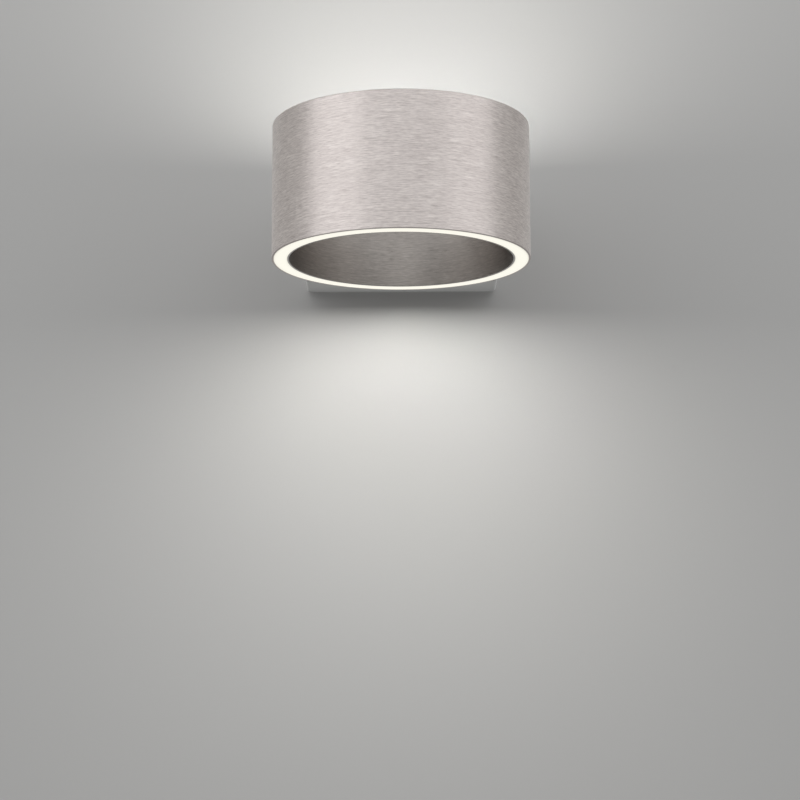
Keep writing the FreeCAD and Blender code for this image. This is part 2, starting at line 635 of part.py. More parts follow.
def make_wall_box():
    """The folded box, open to the wall, with a notch in each side for its lock screw."""
    body = new_body("wall_box")
    front = new_sketch(body, "box_outline", "XZ_Plane", lift="Sizes.wall_gap")
    draw_rectangle(front, "-Places.half_box", "Places.half_box", "-Sizes.box_height / 2", "Sizes.box_height / 2")
    pad(body, front, "Sizes.box_depth")
    face = -number("Places.box_front")
    round_edges(body, "Sizes.box_edge", lambda edge: runs_along(edge, "y") or lies_at(edge, "y", face))
    inside = new_sketch(body, "box_inside", "XZ_Plane", lift="Sizes.wall_gap")
    half_wide, half_high = "(Places.half_box - Sizes.box_wall)", "(Sizes.box_height / 2 - Sizes.box_wall)"
    draw_rectangle(inside, "-" + half_wide, half_wide, "-" + half_high, half_high)
    pocket(body, inside, "Sizes.box_depth - Sizes.box_wall", reverse=True)
    corner = number(half_wide), number(half_high)
    round_edges(body, "Sizes.box_edge - Sizes.box_wall",
                lambda edge: runs_along(edge, "y") and abs(abs(edge.BoundBox.XMin) - corner[0]) < NEAR
                and abs(abs(edge.BoundBox.ZMin) - corner[1]) < NEAR)
    holes = new_sketch(body, "box_holes", "XZ_Plane", lift=INSIDE)
    draw_circles(holes, TUBE_SCREWS, M4_HOLE)
    draw_circles(holes, [("0", "0")], BUSH_HOLE)
    pocket(body, holes, "Sizes.box_wall * 2", reverse=True)
    notch_half = "(Sizes.screw_m4 / 2 + Sizes.notch_fit)"
    notch = new_sketch(body, "box_notch", "YZ_Plane")
    draw_rectangle(notch, "-Sizes.lock_screw_y", "Sizes.wall_gap", "-" + notch_half, notch_half)
    pocket(body, notch, THROUGH_BOX, middle=True)
    seat = draw_circles(new_sketch(body, "box_notch_end", "YZ_Plane"), LOCK_SCREW_AXIS, notch_half)
    pocket(body, seat, THROUGH_BOX, middle=True)
    return body


# ---------------------------------------------------------------- bracket and lock screws

def make_bracket():
    """The bent steel bracket on the wall: a base plate with slots and a flange at each side."""
    body = new_body("wall_bracket")
    profile = new_sketch(body, "bracket_bend", "XY_Plane")
    draw_outline(profile, [
        ("-Places.half_bracket", "0"), ("-Places.half_bracket", "-Sizes.flange_reach"),
        ("-Places.nut_face", "-Sizes.flange_reach"), ("-Places.nut_face", "-Sizes.bracket_sheet"),
        ("Places.nut_face", "-Sizes.bracket_sheet"), ("Places.nut_face", "-Sizes.flange_reach"),
        ("Places.half_bracket", "-Sizes.flange_reach"), ("Places.half_bracket", "0")])
    pad(body, profile, "Sizes.flange_height", middle=True)
    plate = new_sketch(body, "bracket_plate", "XZ_Plane")
    inset = "(Places.half_bracket - Sizes.bracket_bend - Sizes.bracket_sheet)"
    draw_rectangle(plate, "-" + inset, inset, "-Sizes.bracket_height / 2", "Sizes.bracket_height / 2")
    pad(body, plate, "Sizes.bracket_sheet")
    side, corner = number("Places.half_bracket"), number("Sizes.bracket_height / 2")
    round_edges(body, "Sizes.bracket_bend",
                lambda edge: runs_along(edge, "z") and lies_at(edge, "y", 0.0)
                and abs(abs(edge.BoundBox.XMin) - side) < NEAR)
    round_edges(body, "Sizes.bracket_corner",
                lambda edge: runs_along(edge, "y") and abs(abs(edge.BoundBox.ZMin) - corner) < NEAR)
    round_edges(body, "Sizes.bracket_corner",
                lambda edge: runs_along(edge, "x") and lies_at(edge, "y", -number("Sizes.flange_reach")))
    holes = draw_circles(new_sketch(body, "bracket_cable_hole", "XZ_Plane"), [("0", "0")], "Sizes.cable_hole / 2")
    draw_circles(holes, [("-Sizes.junction_spacing / 2", "0"), ("Sizes.junction_spacing / 2", "0")],
                 "Sizes.junction_hole / 2")
    pocket(body, holes, THROUGH_SHEET, middle=True)
    for name, sign in HANDS:
        middle = "(%d * Sizes.slot_spacing / 2)" % sign
        straight = "(Sizes.slot_length - Sizes.slot_width) / 2"
        slot = new_sketch(body, "bracket_slot_" + name, "XZ_Plane")
        draw_rectangle(slot, "%s - %s" % (middle, straight), "%s + %s" % (middle, straight),
                       "-Sizes.slot_width / 2", "Sizes.slot_width / 2")
        pocket(body, slot, THROUGH_SHEET, middle=True)
        for end in (-1, 1):
            tip = draw_circles(new_sketch(body, "bracket_slot_end", "XZ_Plane"),
                               [("%s + %d * %s" % (middle, end, straight), "0")], "Sizes.slot_width / 2")
            pocket(body, tip, THROUGH_SHEET, middle=True)
    bore = draw_circles(new_sketch(body, "bracket_screw_holes", "YZ_Plane"), LOCK_SCREW_AXIS, M4_THREAD)
    pocket(body, bore, THROUGH_BOX, middle=True)
    return body


def make_lock_nuts():
    """The press nuts on the inside of the bracket's flanges."""
    body = new_body("lock_nuts")
    for name, sign in HANDS:
        plan = new_sketch(body, "nut_plan_" + name, "YZ_Plane", lift="%d * Places.nut_face" % sign)
        draw_circles(plan, LOCK_SCREW_AXIS, "Sizes.lock_nut_diameter / 2")
        draw_circles(plan, LOCK_SCREW_AXIS, M4_THREAD)
        pad(body, plan, "Sizes.lock_nut_length", reverse=sign > 0)
    return body


def make_lock_washer(name, sign):
    """The washer between a lock screw's head and the box's side."""
    body = new_body("lock_washer_" + name)
    plan = new_sketch(body, "washer_plan_" + name, "YZ_Plane", lift="%d * Places.half_box" % sign)
    draw_circles(plan, LOCK_SCREW_AXIS, "Sizes.washer_diameter / 2")
    draw_circles(plan, LOCK_SCREW_AXIS, M4_HOLE)
    pad(body, plan, "Sizes.washer_thickness", reverse=sign < 0)
    return body


# ---------------------------------------------------------------- driver, terminals and clamp

def make_driver():
    """The LED driver: a case with an ear at each end, and a lid towards the wall."""
    half_wide = "Sizes.driver_width / 2"
    left, right = "Sizes.driver_x - " + half_wide, "Sizes.driver_x + " + half_wide
    low, high = "-Sizes.driver_length / 2", "Sizes.driver_length / 2"
    case = new_body("driver_case")
    outline = new_sketch(case, "case_outline", "XZ_Plane", lift=INSIDE)
    pad(case, draw_rectangle(outline, left, right, low, high), "Sizes.driver_height - Sizes.driver_lid",
        reverse=True)
    round_edges(case, "Sizes.driver_edge", lambda edge: runs_along(edge, "y"))
    ears = new_sketch(case, "case_ears", "XZ_Plane", lift=INSIDE)
    ear_left, ear_right = "Sizes.driver_x - Sizes.ear_width / 2", "Sizes.driver_x + Sizes.ear_width / 2"
    reach = "(Sizes.driver_length / 2 + Sizes.ear_reach)"
    pad(case, draw_rectangle(ears, ear_left, ear_right, "-" + reach, reach), "Sizes.ear_thickness", reverse=True)
    holes = draw_circles(new_sketch(case, "case_ear_holes", "XZ_Plane", lift=INSIDE), DRIVER_STUDS, M3_HOLE)
    pocket(case, holes, "Sizes.ear_thickness * 2", middle=True)
    lid = new_body("driver_lid")
    split = INSIDE + " - Sizes.driver_height + Sizes.driver_lid"
    outline = new_sketch(lid, "lid_outline", "XZ_Plane", lift=split)
    pad(lid, draw_rectangle(outline, left, right, low, high), "Sizes.driver_lid", reverse=True)
    top = -number(INSIDE + " - Sizes.driver_height")
    round_edges(lid, "Sizes.driver_edge", lambda edge: runs_along(edge, "y") or lies_at(edge, "y", top))
    return case, lid


def make_terminal_block():
    """The three-pole screw terminal: a strip with three hollow poles."""
    body = new_body("terminal_block")
    half = "Sizes.terminal_width / 2"
    left, right = "Sizes.terminal_x - " + half, "Sizes.terminal_x + " + half
    strip = new_sketch(body, "terminal_strip", "XZ_Plane", lift=INSIDE)
    end = "(Sizes.pole_pitch + Sizes.pole_width / 2)"
    pad(body, draw_rectangle(strip, left, right, "Sizes.terminal_z - " + end, "Sizes.terminal_z + " + end),
        "Sizes.terminal_base", reverse=True)
    poles = new_sketch(body, "terminal_poles", "XZ_Plane", lift=INSIDE)
    for place in POLES:
        draw_rectangle(poles, left, right, "%s - Sizes.pole_width / 2" % place, "%s + Sizes.pole_width / 2" % place)
    pad(body, poles, "Sizes.terminal_height", reverse=True)
    entries = new_sketch(body, "terminal_entries", "YZ_Plane", lift="Sizes.terminal_x")
    draw_circles(entries, [("-(%s - Sizes.wire_height)" % INSIDE, place) for place in POLES], "Sizes.wire_entry / 2")
    pocket(body, entries, "Sizes.terminal_width * 2", middle=True)
    wells = new_sketch(body, "terminal_wells", "XZ_Plane", lift=INSIDE + " - Sizes.terminal_height")
    draw_circles(wells, TERMINAL_SCREWS, "Sizes.terminal_screw / 2 + Sizes.pass_fit")
    pocket(body, wells, "Sizes.terminal_height - Sizes.wire_height", reverse=True)
    return body


def make_terminal_screws():
    """The six clamping screws, a little below the mouths of their wells."""
    body = new_body("terminal_screws")
    start = INSIDE + " - Sizes.wire_height - Sizes.wire_entry / 2"
    plan = draw_circles(new_sketch(body, "terminal_screw_plan", "XZ_Plane", lift=start), TERMINAL_SCREWS,
                        "Sizes.terminal_screw / 2")
    length = "(Sizes.terminal_height - Sizes.wire_height - Sizes.wire_entry / 2 - Sizes.terminal_screw_drop)"
    pad(body, plan, length, reverse=True)
    slots = new_sketch(body, "terminal_screw_slots", "XZ_Plane", lift="%s - %s" % (start, length))
    half, wide = "Sizes.screw_slot_length / 2", "Sizes.screw_slot_width / 2"
    for across, up in TERMINAL_SCREWS:
        draw_rectangle(slots, "%s - %s" % (across, half), "%s + %s" % (across, half),
                       "%s - %s" % (up, wide), "%s + %s" % (up, wide))
    pocket(body, slots, "Sizes.screw_slot_depth", reverse=True)
    return body


def make_cable_clamp():
    """The arched strip that holds the supply cable down."""
    body = new_body("cable_clamp")
    plan = new_sketch(body, "clamp_section", "XY_Plane", lift="Sizes.clamp_z")
    low = "-Places.inside_front"
    step = "-(Places.inside_front - Sizes.clamp_sheet)"
    under = "-(Places.inside_front - Sizes.clamp_arch_height + Sizes.clamp_sheet)"
    crown = "-(Places.inside_front - Sizes.clamp_arch_height)"
    out, inn = "Sizes.clamp_arch_width / 2", "(Sizes.clamp_arch_width / 2 - Sizes.clamp_sheet)"
    foot = "Sizes.clamp_length / 2"
    draw_outline(plan, [
        ("Sizes.clamp_x - " + foot, low), ("Sizes.clamp_x - " + inn, low), ("Sizes.clamp_x - " + inn, under),
        ("Sizes.clamp_x + " + inn, under), ("Sizes.clamp_x + " + inn, low), ("Sizes.clamp_x + " + foot, low),
        ("Sizes.clamp_x + " + foot, step), ("Sizes.clamp_x + " + out, step), ("Sizes.clamp_x + " + out, crown),
        ("Sizes.clamp_x - " + out, crown), ("Sizes.clamp_x - " + out, step), ("Sizes.clamp_x - " + foot, step)])
    pad(body, plan, "Sizes.clamp_breadth", middle=True)
    crown_y = number(crown)
    round_edges(body, "Sizes.clamp_sheet", lambda edge: runs_along(edge, "z") and lies_at(edge, "y", crown_y))
    holes = draw_circles(new_sketch(body, "clamp_holes", "XZ_Plane", lift=INSIDE), CLAMP_STUDS, M3_HOLE)
    pocket(body, holes, "Sizes.clamp_sheet * 2", middle=True)
    return body


def make_earth_lug():
    """The ring lug on the earth stud, with the barrel that grips the earth lead."""
    body = new_body("earth_lug")
    plan = new_sketch(body, "lug_ring", "XZ_Plane", lift=INSIDE)
    draw_circles(plan, EARTH_STUD, "Sizes.lug_diameter / 2")
    draw_circles(plan, EARTH_STUD, M4_HOLE)
    pad(body, plan, "Sizes.lug_thickness", reverse=True)
    barrel_r = "(Sizes.mains_lead / 2 + Sizes.lug_thickness)"
    tongue = new_sketch(body, "lug_tongue", "XZ_Plane", lift=INSIDE)
    draw_rectangle(tongue, "Sizes.earth_x - " + barrel_r, "Sizes.earth_x + " + barrel_r,
                   "Sizes.earth_z + Sizes.lug_neck", "Sizes.earth_z + Sizes.lug_length")
    pad(body, tongue, "Sizes.lug_thickness", reverse=True)
    centre = [("Sizes.earth_x", "-(%s - %s)" % (INSIDE, barrel_r))]
    barrel = new_sketch(body, "lug_barrel", "XY_Plane", lift="Sizes.earth_z + Sizes.lug_length / 2")
    draw_circles(barrel, centre, barrel_r)
    pad(body, barrel, "Sizes.lug_length / 2")
    bore = new_sketch(body, "lug_bore", "XY_Plane", lift="Sizes.earth_z + Sizes.lug_length / 2")
    pocket(body, draw_circles(bore, centre, "Sizes.mains_lead / 2 + Sizes.thread_fit"), "Sizes.lug_length / 2",
           reverse=True)
    return body


# ---------------------------------------------------------------- leads

def make_lead(label, route, radius, bend):
    """A lead along straight runs joined by tangent arcs of one bend radius."""
    edges, start = [], route[0]
    for before, corner, after in zip(route, route[1:], route[2:]):
        come, leave = (corner - before).normalize(), (after - corner).normalize()
        half_turn = come.getAngle(leave) / 2
        setback = bend * math.tan(half_turn)
        first, last = corner - come * setback, corner + leave * setback
        inward = (leave - come).normalize()
        centre = corner + inward * (bend / math.cos(half_turn))
        edges.append(Part.LineSegment(start, first).toShape())
        edges.append(Part.Arc(first, centre - inward * bend, last).toShape())
        start = last
    edges.append(Part.LineSegment(start, route[-1]).toShape())
    path = Part.Wire(edges)
    ring = Part.Wire(Part.Circle(route[0], (route[1] - route[0]).normalize(), radius).toShape())
    lead = document.addObject("Part::Feature", label)
    lead.Shape = path.makePipeShell([ring], True, False)
    share = lead.Shape.Volume / (math.pi * radius ** 2 * path.Length)
    print("%s: %.1f long, bends %.1f, volume / (section x length) %.4f" % (label, path.Length, bend, share))
    return lead


def make_led_leads():
    """Four leads from the driver through the bush and the heat-sink ring, two to each board."""
    radius, bend = number("Sizes.led_lead / 2"), number("Sizes.bend_radius")
    offset, channel = number("Sizes.led_lead_offset"), number("Places.lead_x")
    driver_face = number("Sizes.driver_x + Sizes.driver_width / 2")
    exit_y = -number(INSIDE + " - Sizes.driver_exit")
    slot_y = number("Places.tube_y + Places.lead_y")
    board = number("Places.board_z + Sizes.reflector_wall")
    leads = []
    for side, up in (("upper", 1), ("lower", -1)):
        for colour, across in (("red", 1), ("black", -1)):
            y, z = exit_y + across * offset, up * offset
            route = [Vector(driver_face, y, z), Vector(across * offset, y, z),
                     Vector(across * offset, slot_y, z), Vector(across * channel, slot_y, z),
                     Vector(across * channel, slot_y, up * board)]
            leads.append(make_lead("lead_%s_%s" % (side, colour), route, radius, bend))
    return leads


def make_mains_leads():
    """The leads from the driver to the terminal block, and from its earth pole to the earth lug."""
    radius, bend = number("Sizes.mains_lead / 2"), number("Sizes.mains_bend")
    driver_face = number("Sizes.driver_x + Sizes.driver_width / 2")
    exit_y = -number(INSIDE + " - Sizes.driver_exit")
    entry_y = -number(INSIDE + " - Sizes.wire_height")
    entry_x = number("Sizes.terminal_x - Sizes.terminal_width / 2")
    level = (entry_x - driver_face) * number("Sizes.mains_level")
    leads = []
    for label, pole in (("lead_live", POLES[2]), ("lead_neutral", POLES[1])):
        z = number(pole)
        route = [Vector(driver_face, exit_y, z), Vector(driver_face + level, exit_y, z),
                 Vector(entry_x - level, entry_y, z), Vector(entry_x, entry_y, z)]
        leads.append(make_lead(label, route, radius, bend))
    earth_x, z = number("Sizes.earth_x"), number(POLES[0])
    lug_y = -number(INSIDE + " - Sizes.mains_lead / 2 - Sizes.lug_thickness")
    lug_z = number("Sizes.earth_z + Sizes.lug_length")
    route = [Vector(entry_x, entry_y, z), Vector(earth_x, entry_y, z), Vector(earth_x, lug_y, lug_z)]
    leads.append(make_lead("lead_earth", route, radius, bend))
    return leads


# ---------------------------------------------------------------- the whole light

def make_tube():
    """The two sleeves and everything between them."""
    pieces = [make_sleeve("outer_sleeve", "Places.tube_r", "Places.bore_r", True),
              make_sleeve("inner_sleeve", "Places.core_r", "Places.clear_r", False),
              make_core_ring()]
    for side, turn in SIDES:
        pieces += [make_board(side, turn), make_leds(side, turn), make_reflector(side, turn),
                   make_diffuser(side, turn),
                   make_screws(side + "_board_screws", "XY_Plane", BOARD_SCREWS,
                               "(Places.board_z + Sizes.reflector_wall)", -1, BOARD_SCREW,
                               "Places.tube_y", turn)]
    return pieces


def make_fixing():
    """What joins the tube to the box, and the box itself."""
    return [make_saddle(), make_bush(), make_wall_box(),
            make_screws("tube_screws", "XZ_Plane", TUBE_SCREWS, INSIDE, 1, M4_SCREW)]


def make_electrics():
    """The driver, the terminals and what holds them inside the box."""
    bore = "Sizes.screw_m3 / 2"
    ears = make_nuts("driver_nuts", DRIVER_STUDS, "Sizes.nut_m3", bore, "Sizes.nut_m3_height",
                     "Sizes.ear_thickness")
    clamp = make_nuts("clamp_nuts", CLAMP_STUDS, "Sizes.nut_m3", bore, "Sizes.nut_m3_height",
                      "Sizes.clamp_sheet")
    earth = make_nuts("earth_nut", EARTH_STUD, "Sizes.nut_m4", "Sizes.screw_m4 / 2", "Sizes.nut_m4_height",
                      "Sizes.lug_thickness")
    studs = [make_studs("weld_studs", DRIVER_STUDS + CLAMP_STUDS, bore, "Sizes.stud_m3_length"),
             make_studs("earth_stud", EARTH_STUD, "Sizes.screw_m4 / 2", "Sizes.stud_m4_length")]
    return [*make_driver(), make_terminal_block(), make_terminal_screws(), make_cable_clamp(),
            make_earth_lug(), ears, clamp, earth, *studs, *make_led_leads(), *make_mains_leads()]


def make_mounting():
    """The bracket on the wall and the screws that lock the box to it."""
    pieces = [make_bracket(), make_lock_nuts()]
    for name, sign in HANDS:
        pieces.append(make_lock_washer(name, sign))
        pieces.append(make_screws("lock_screw_" + name, "YZ_Plane", LOCK_SCREW_AXIS,
                                  "%d * Places.head_face" % sign, -sign, LOCK_SCREW))
    return pieces


def check_and_write(pieces):
    """Stops on any failed object or unsound shape, then writes one STEP file for each piece."""
    document.recompute()
    for item in document.Objects:
        if "Invalid" in item.State or "Error" in item.State:
            raise RuntimeError("%s failed: %s" % (item.Label, item.State))
    os.makedirs("parts", exist_ok=True)
    for piece in pieces:
        if piece.Shape.isNull() or not piece.Shape.isValid():
            raise RuntimeError(piece.Label + " has no sound shape")
    for piece in pieces:
        piece.Shape.exportStep(os.path.join("parts", piece.Label + ".step"))
        print("%-20s %2d solids  %9.1f mm3" % (piece.Label, len(piece.Shape.Solids), piece.Shape.Volume))


check_and_write(make_tube() + make_fixing() + make_electrics() + make_mounting())
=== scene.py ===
"""Looks, light and camera of the tube wall light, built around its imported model.

The sleeves get a brushed finish that runs round the tube, the opal rings glow warm white, and the wall box, its
bracket, its screws and the electrical pieces inside it are dressed as powder coat, zinc, turned steel, brass,
moulded plastic and insulation. Everything is in metres, in the model's own frame.
"""
from __future__ import annotations

import logging
import math
from dataclasses import dataclass, field
from enum import Enum
from typing import Any, Mapping, Protocol, Sequence, Union

import bpy
from mathutils import Euler, Matrix, Vector
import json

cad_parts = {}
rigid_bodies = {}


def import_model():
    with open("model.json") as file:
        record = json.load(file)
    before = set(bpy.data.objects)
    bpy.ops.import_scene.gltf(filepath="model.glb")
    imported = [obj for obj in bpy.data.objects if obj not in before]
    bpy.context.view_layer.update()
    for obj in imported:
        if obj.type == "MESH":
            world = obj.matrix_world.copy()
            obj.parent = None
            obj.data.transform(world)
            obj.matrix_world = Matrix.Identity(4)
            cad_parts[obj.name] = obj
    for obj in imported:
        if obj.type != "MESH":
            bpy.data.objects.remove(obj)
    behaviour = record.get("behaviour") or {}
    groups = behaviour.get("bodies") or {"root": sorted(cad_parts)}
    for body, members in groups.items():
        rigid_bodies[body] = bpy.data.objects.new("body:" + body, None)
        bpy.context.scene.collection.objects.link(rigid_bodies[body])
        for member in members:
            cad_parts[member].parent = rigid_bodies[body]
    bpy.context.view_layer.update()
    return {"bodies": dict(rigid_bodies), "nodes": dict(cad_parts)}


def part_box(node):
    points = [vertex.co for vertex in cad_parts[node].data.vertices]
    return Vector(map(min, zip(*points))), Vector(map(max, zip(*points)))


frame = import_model()

log = logging.getLogger("tube_wall_light")

Colour = tuple[float, float, float]
MILLIMETRE = 0.001
TURN = 2 * math.pi
MIDDLE = 0.5             # the middle of a noise or a tone, both of which run from 0 to 1
LIGHT_NOISE = 2.0        # octaves of a soft cloud


# ------------------------------------------------------------------ shader graph

class Wire:
    """A number on its way through a shader graph, with Python's arithmetic."""

    def __init__(self, graph: "Graph", socket: bpy.types.NodeSocket) -> None:
        """Wraps an output socket.

        Args:
            graph: the graph that the socket belongs to.
            socket: the output that carries the number.
        """
        self.graph = graph
        self.socket = socket

    def _math(self, operation: str, first: "Number", second: "Number") -> "Wire":
        """Adds one Math node and returns its result."""
        node = self.graph.node("Math", {"operation": operation}, {0: first, 1: second})
        return Wire(self.graph, node.outputs[0])

    def __add__(self, other: "Number") -> "Wire":
        """self + other."""
        return self._math("ADD", self, other)

    def __radd__(self, other: "Number") -> "Wire":
        """other + self."""
        return self._math("ADD", other, self)

    def __sub__(self, other: "Number") -> "Wire":
        """self - other."""
        return self._math("SUBTRACT", self, other)

    def __rsub__(self, other: "Number") -> "Wire":
        """other - self."""
        return self._math("SUBTRACT", other, self)

    def __mul__(self, other: "Number") -> "Wire":
        """self * other."""
        return self._math("MULTIPLY", self, other)

    def __rmul__(self, other: "Number") -> "Wire":
        """other * self."""
        return self._math("MULTIPLY", other, self)

    def __truediv__(self, other: "Number") -> "Wire":
        """self / other."""
        return self._math("DIVIDE", self, other)

    def __rtruediv__(self, other: "Number") -> "Wire":
        """other / self."""
        return self._math("DIVIDE", other, self)

    def __pow__(self, other: "Number") -> "Wire":
        """self to the power of other."""
        return self._math("POWER", self, other)

    def __gt__(self, other: "Number") -> "Wire":
        """1 where self is over other, and 0 elsewhere."""
        return self._math("GREATER_THAN", self, other)

    def __lt__(self, other: "Number") -> "Wire":
        """1 where self is under other, and 0 elsewhere."""
        return self._math("LESS_THAN", self, other)

    def clamped(self) -> "Wire":
        """The number held between 0 and 1."""
        return self._math("MINIMUM", self._math("MAXIMUM", self, 0.0), 1.0)


Number = Union[Wire, float, int]


class Graph:
    """The node graph of one material or world."""

    def __init__(self, owner: Union[bpy.types.Material, bpy.types.World]) -> None:
        """Empties the graph of a material or world.

        Args:
            owner: what the graph belongs to.
        """
        self.owner = owner
        owner.use_nodes = True
        self.tree = owner.node_tree
        self.tree.nodes.clear()

    def node(self, kind: str, settings: Mapping[str, Any], inputs: Mapping[Any, Any]) -> bpy.types.Node:
        """Adds one node.

        Args:
            kind: the node's type, without its ShaderNode prefix.
            settings: the node's own properties, which are set first.
            inputs: values or links for its input sockets, by name or number.

        Returns:
            The new node.
        """
        node = self.tree.nodes.new("ShaderNode" + kind)
        for name, setting in settings.items():
            setattr(node, name, setting)
        for name, value in inputs.items():
            self._feed(node.inputs[name], value)
        return node

    def _feed(self, socket: bpy.types.NodeSocket, value: Any) -> None:
        """Links or sets one input socket.

        Args:
            socket: the input.
            value: a number wire, a socket, a colour or a plain value.
        """
        if isinstance(value, Wire):
            value = value.socket
        if isinstance(value, bpy.types.NodeSocket):
            self.tree.links.new(value, socket)
        elif isinstance(value, tuple) and socket.type == "RGBA":
            socket.default_value = (*value, 1.0)
        else:
            socket.default_value = value

    def place(self) -> bpy.types.NodeSocket:
        """The point's own place on the object, in metres in the model's frame."""
        return self.node("TexCoord", {}, {}).outputs["Object"]

    def vector(self, operation: str, first: Any, second: Any) -> bpy.types.NodeSocket:
        """The result of one Vector Math node."""
        return self.node("VectorMath", {"operation": operation}, {0: first, 1: second}).outputs[0]

    def coordinates(self, place: bpy.types.NodeSocket) -> tuple[Wire, Wire, Wire]:
        """The three parts of a vector as numbers."""
        parts = self.node("SeparateXYZ", {}, {0: place})
        return Wire(self, parts.outputs[0]), Wire(self, parts.outputs[1]), Wire(self, parts.outputs[2])

    def noise(self, place: Any, scale: float, detail: float = 2.0, rough: float = 0.5) -> Wire:
        """Smooth noise about 0.5.

        Args:
            place: the coordinates that it is sampled at.
            scale: cells in a unit of those coordinates.
            detail: octaves added to the first.
            rough: how strong each further octave is.

        Returns:
            The noise as a number.
        """
        node = self.node("TexNoise", {"noise_dimensions": "3D"},
                         {"Vector": place, "Scale": scale, "Detail": detail, "Roughness": rough})
        return Wire(self, node.outputs[0])

    def cells(self, place: Any, scale: float) -> Wire:
        """A random number for each cell that the place is divided into."""
        node = self.node("TexVoronoi", {"feature": "F1"}, {"Vector": place, "Scale": scale})
        return self.coordinates(node.outputs["Color"])[0]

    def blend(self, factor: Number, first: Any, second: Any) -> bpy.types.NodeSocket:
        """A colour between two others.

        Args:
            factor: 0 for first, 1 for second.
            first: a colour or a colour socket.
            second: a colour or a colour socket.

        Returns:
            The mixed colour's socket.
        """
        node = self.node("Mix", {"data_type": "RGBA"}, {"Factor": factor})
        self._feed(node.inputs[6], first)
        self._feed(node.inputs[7], second)
        return node.outputs[2]

    def shaded(self, tone: Number, colour: Colour, dark: float, light: float) -> bpy.types.NodeSocket:
        """A colour that varies in brightness.

        Args:
            tone: 0 where the colour is darkest, 1 where it is lightest.
            colour: the mean colour.
            dark: the share of it at tone 0.
            light: the share of it at tone 1.

        Returns:
            The varied colour's socket.
        """
        return self.blend(tone, scaled(colour, dark), scaled(colour, light))

    def wave(self, phase: Wire) -> Wire:
        """A sine of the phase, between 0 and 1."""
        return Wire(self, self.node("Math", {"operation": "SINE"}, {0: phase}).outputs[0]) * 0.5 + 0.5

    def away_from(self, middle: tuple[float, float], place: bpy.types.NodeSocket) -> Wire:
        """The level distance of a place from an upright axis at middle."""
        across = self.vector("SUBTRACT", place, (*middle, 0.0))
        flat = self.vector("MULTIPLY", across, (1.0, 1.0, 0.0))
        return Wire(self, self.node("VectorMath", {"operation": "LENGTH"}, {0: flat}).outputs["Value"])

    def bump(self, height: Wire, strength: float, distance: float) -> bpy.types.NodeSocket:
        """A bumped normal.

        Args:
            height: the relief, from 0 to 1.
            strength: how much of it shows.
            distance: the relief's height in metres.

        Returns:
            The normal's socket.
        """
        return self.node("Bump", {}, {"Height": height, "Strength": strength, "Distance": distance}).outputs[0]

    def finish(self, **inputs: Any) -> bpy.types.Material:
        """Ends the graph in a Principled shader.

        Args:
            **inputs: the shader's sockets, with underscores for spaces.

        Returns:
            The finished material.
        """
        named = {name.replace("_", " "): value for name, value in inputs.items()}
        return self.show(self.node("BsdfPrincipled", {}, named))

    def show(self, shader: bpy.types.Node) -> bpy.types.Material:
        """Makes a shader the material's surface, and returns the material."""
        self.node("OutputMaterial", {}, {0: shader.outputs[0]})
        return self.owner


def new_graph(name: str) -> Graph:
    """The empty graph of a new material with the given name."""
    return Graph(bpy.data.materials.new(name))


def scaled(colour: Colour, share: float) -> Colour:
    """A colour made lighter or darker."""
    return tuple(min(1.0, part * share) for part in colour)


def varied(mean: float, *parts: tuple[Wire, float]) -> Wire:
    """A mean with noises laid over it, held between 0 and 1.

    Args:
        mean: the result where every noise is at its middle.
        *parts: each noise, and how far the result moves over its whole range.

    Returns:
        The varied number.
    """
    total: Number = mean
    for noise, amount in parts:
        total = total + (noise - MIDDLE) * amount
    return total.clamped()


# ------------------------------------------------------------------ finishes

class Finish(Protocol):
    """Anything that can be built as a material."""

    def material(self, name: str) -> bpy.types.Material:
        """Builds the finish under the given name."""


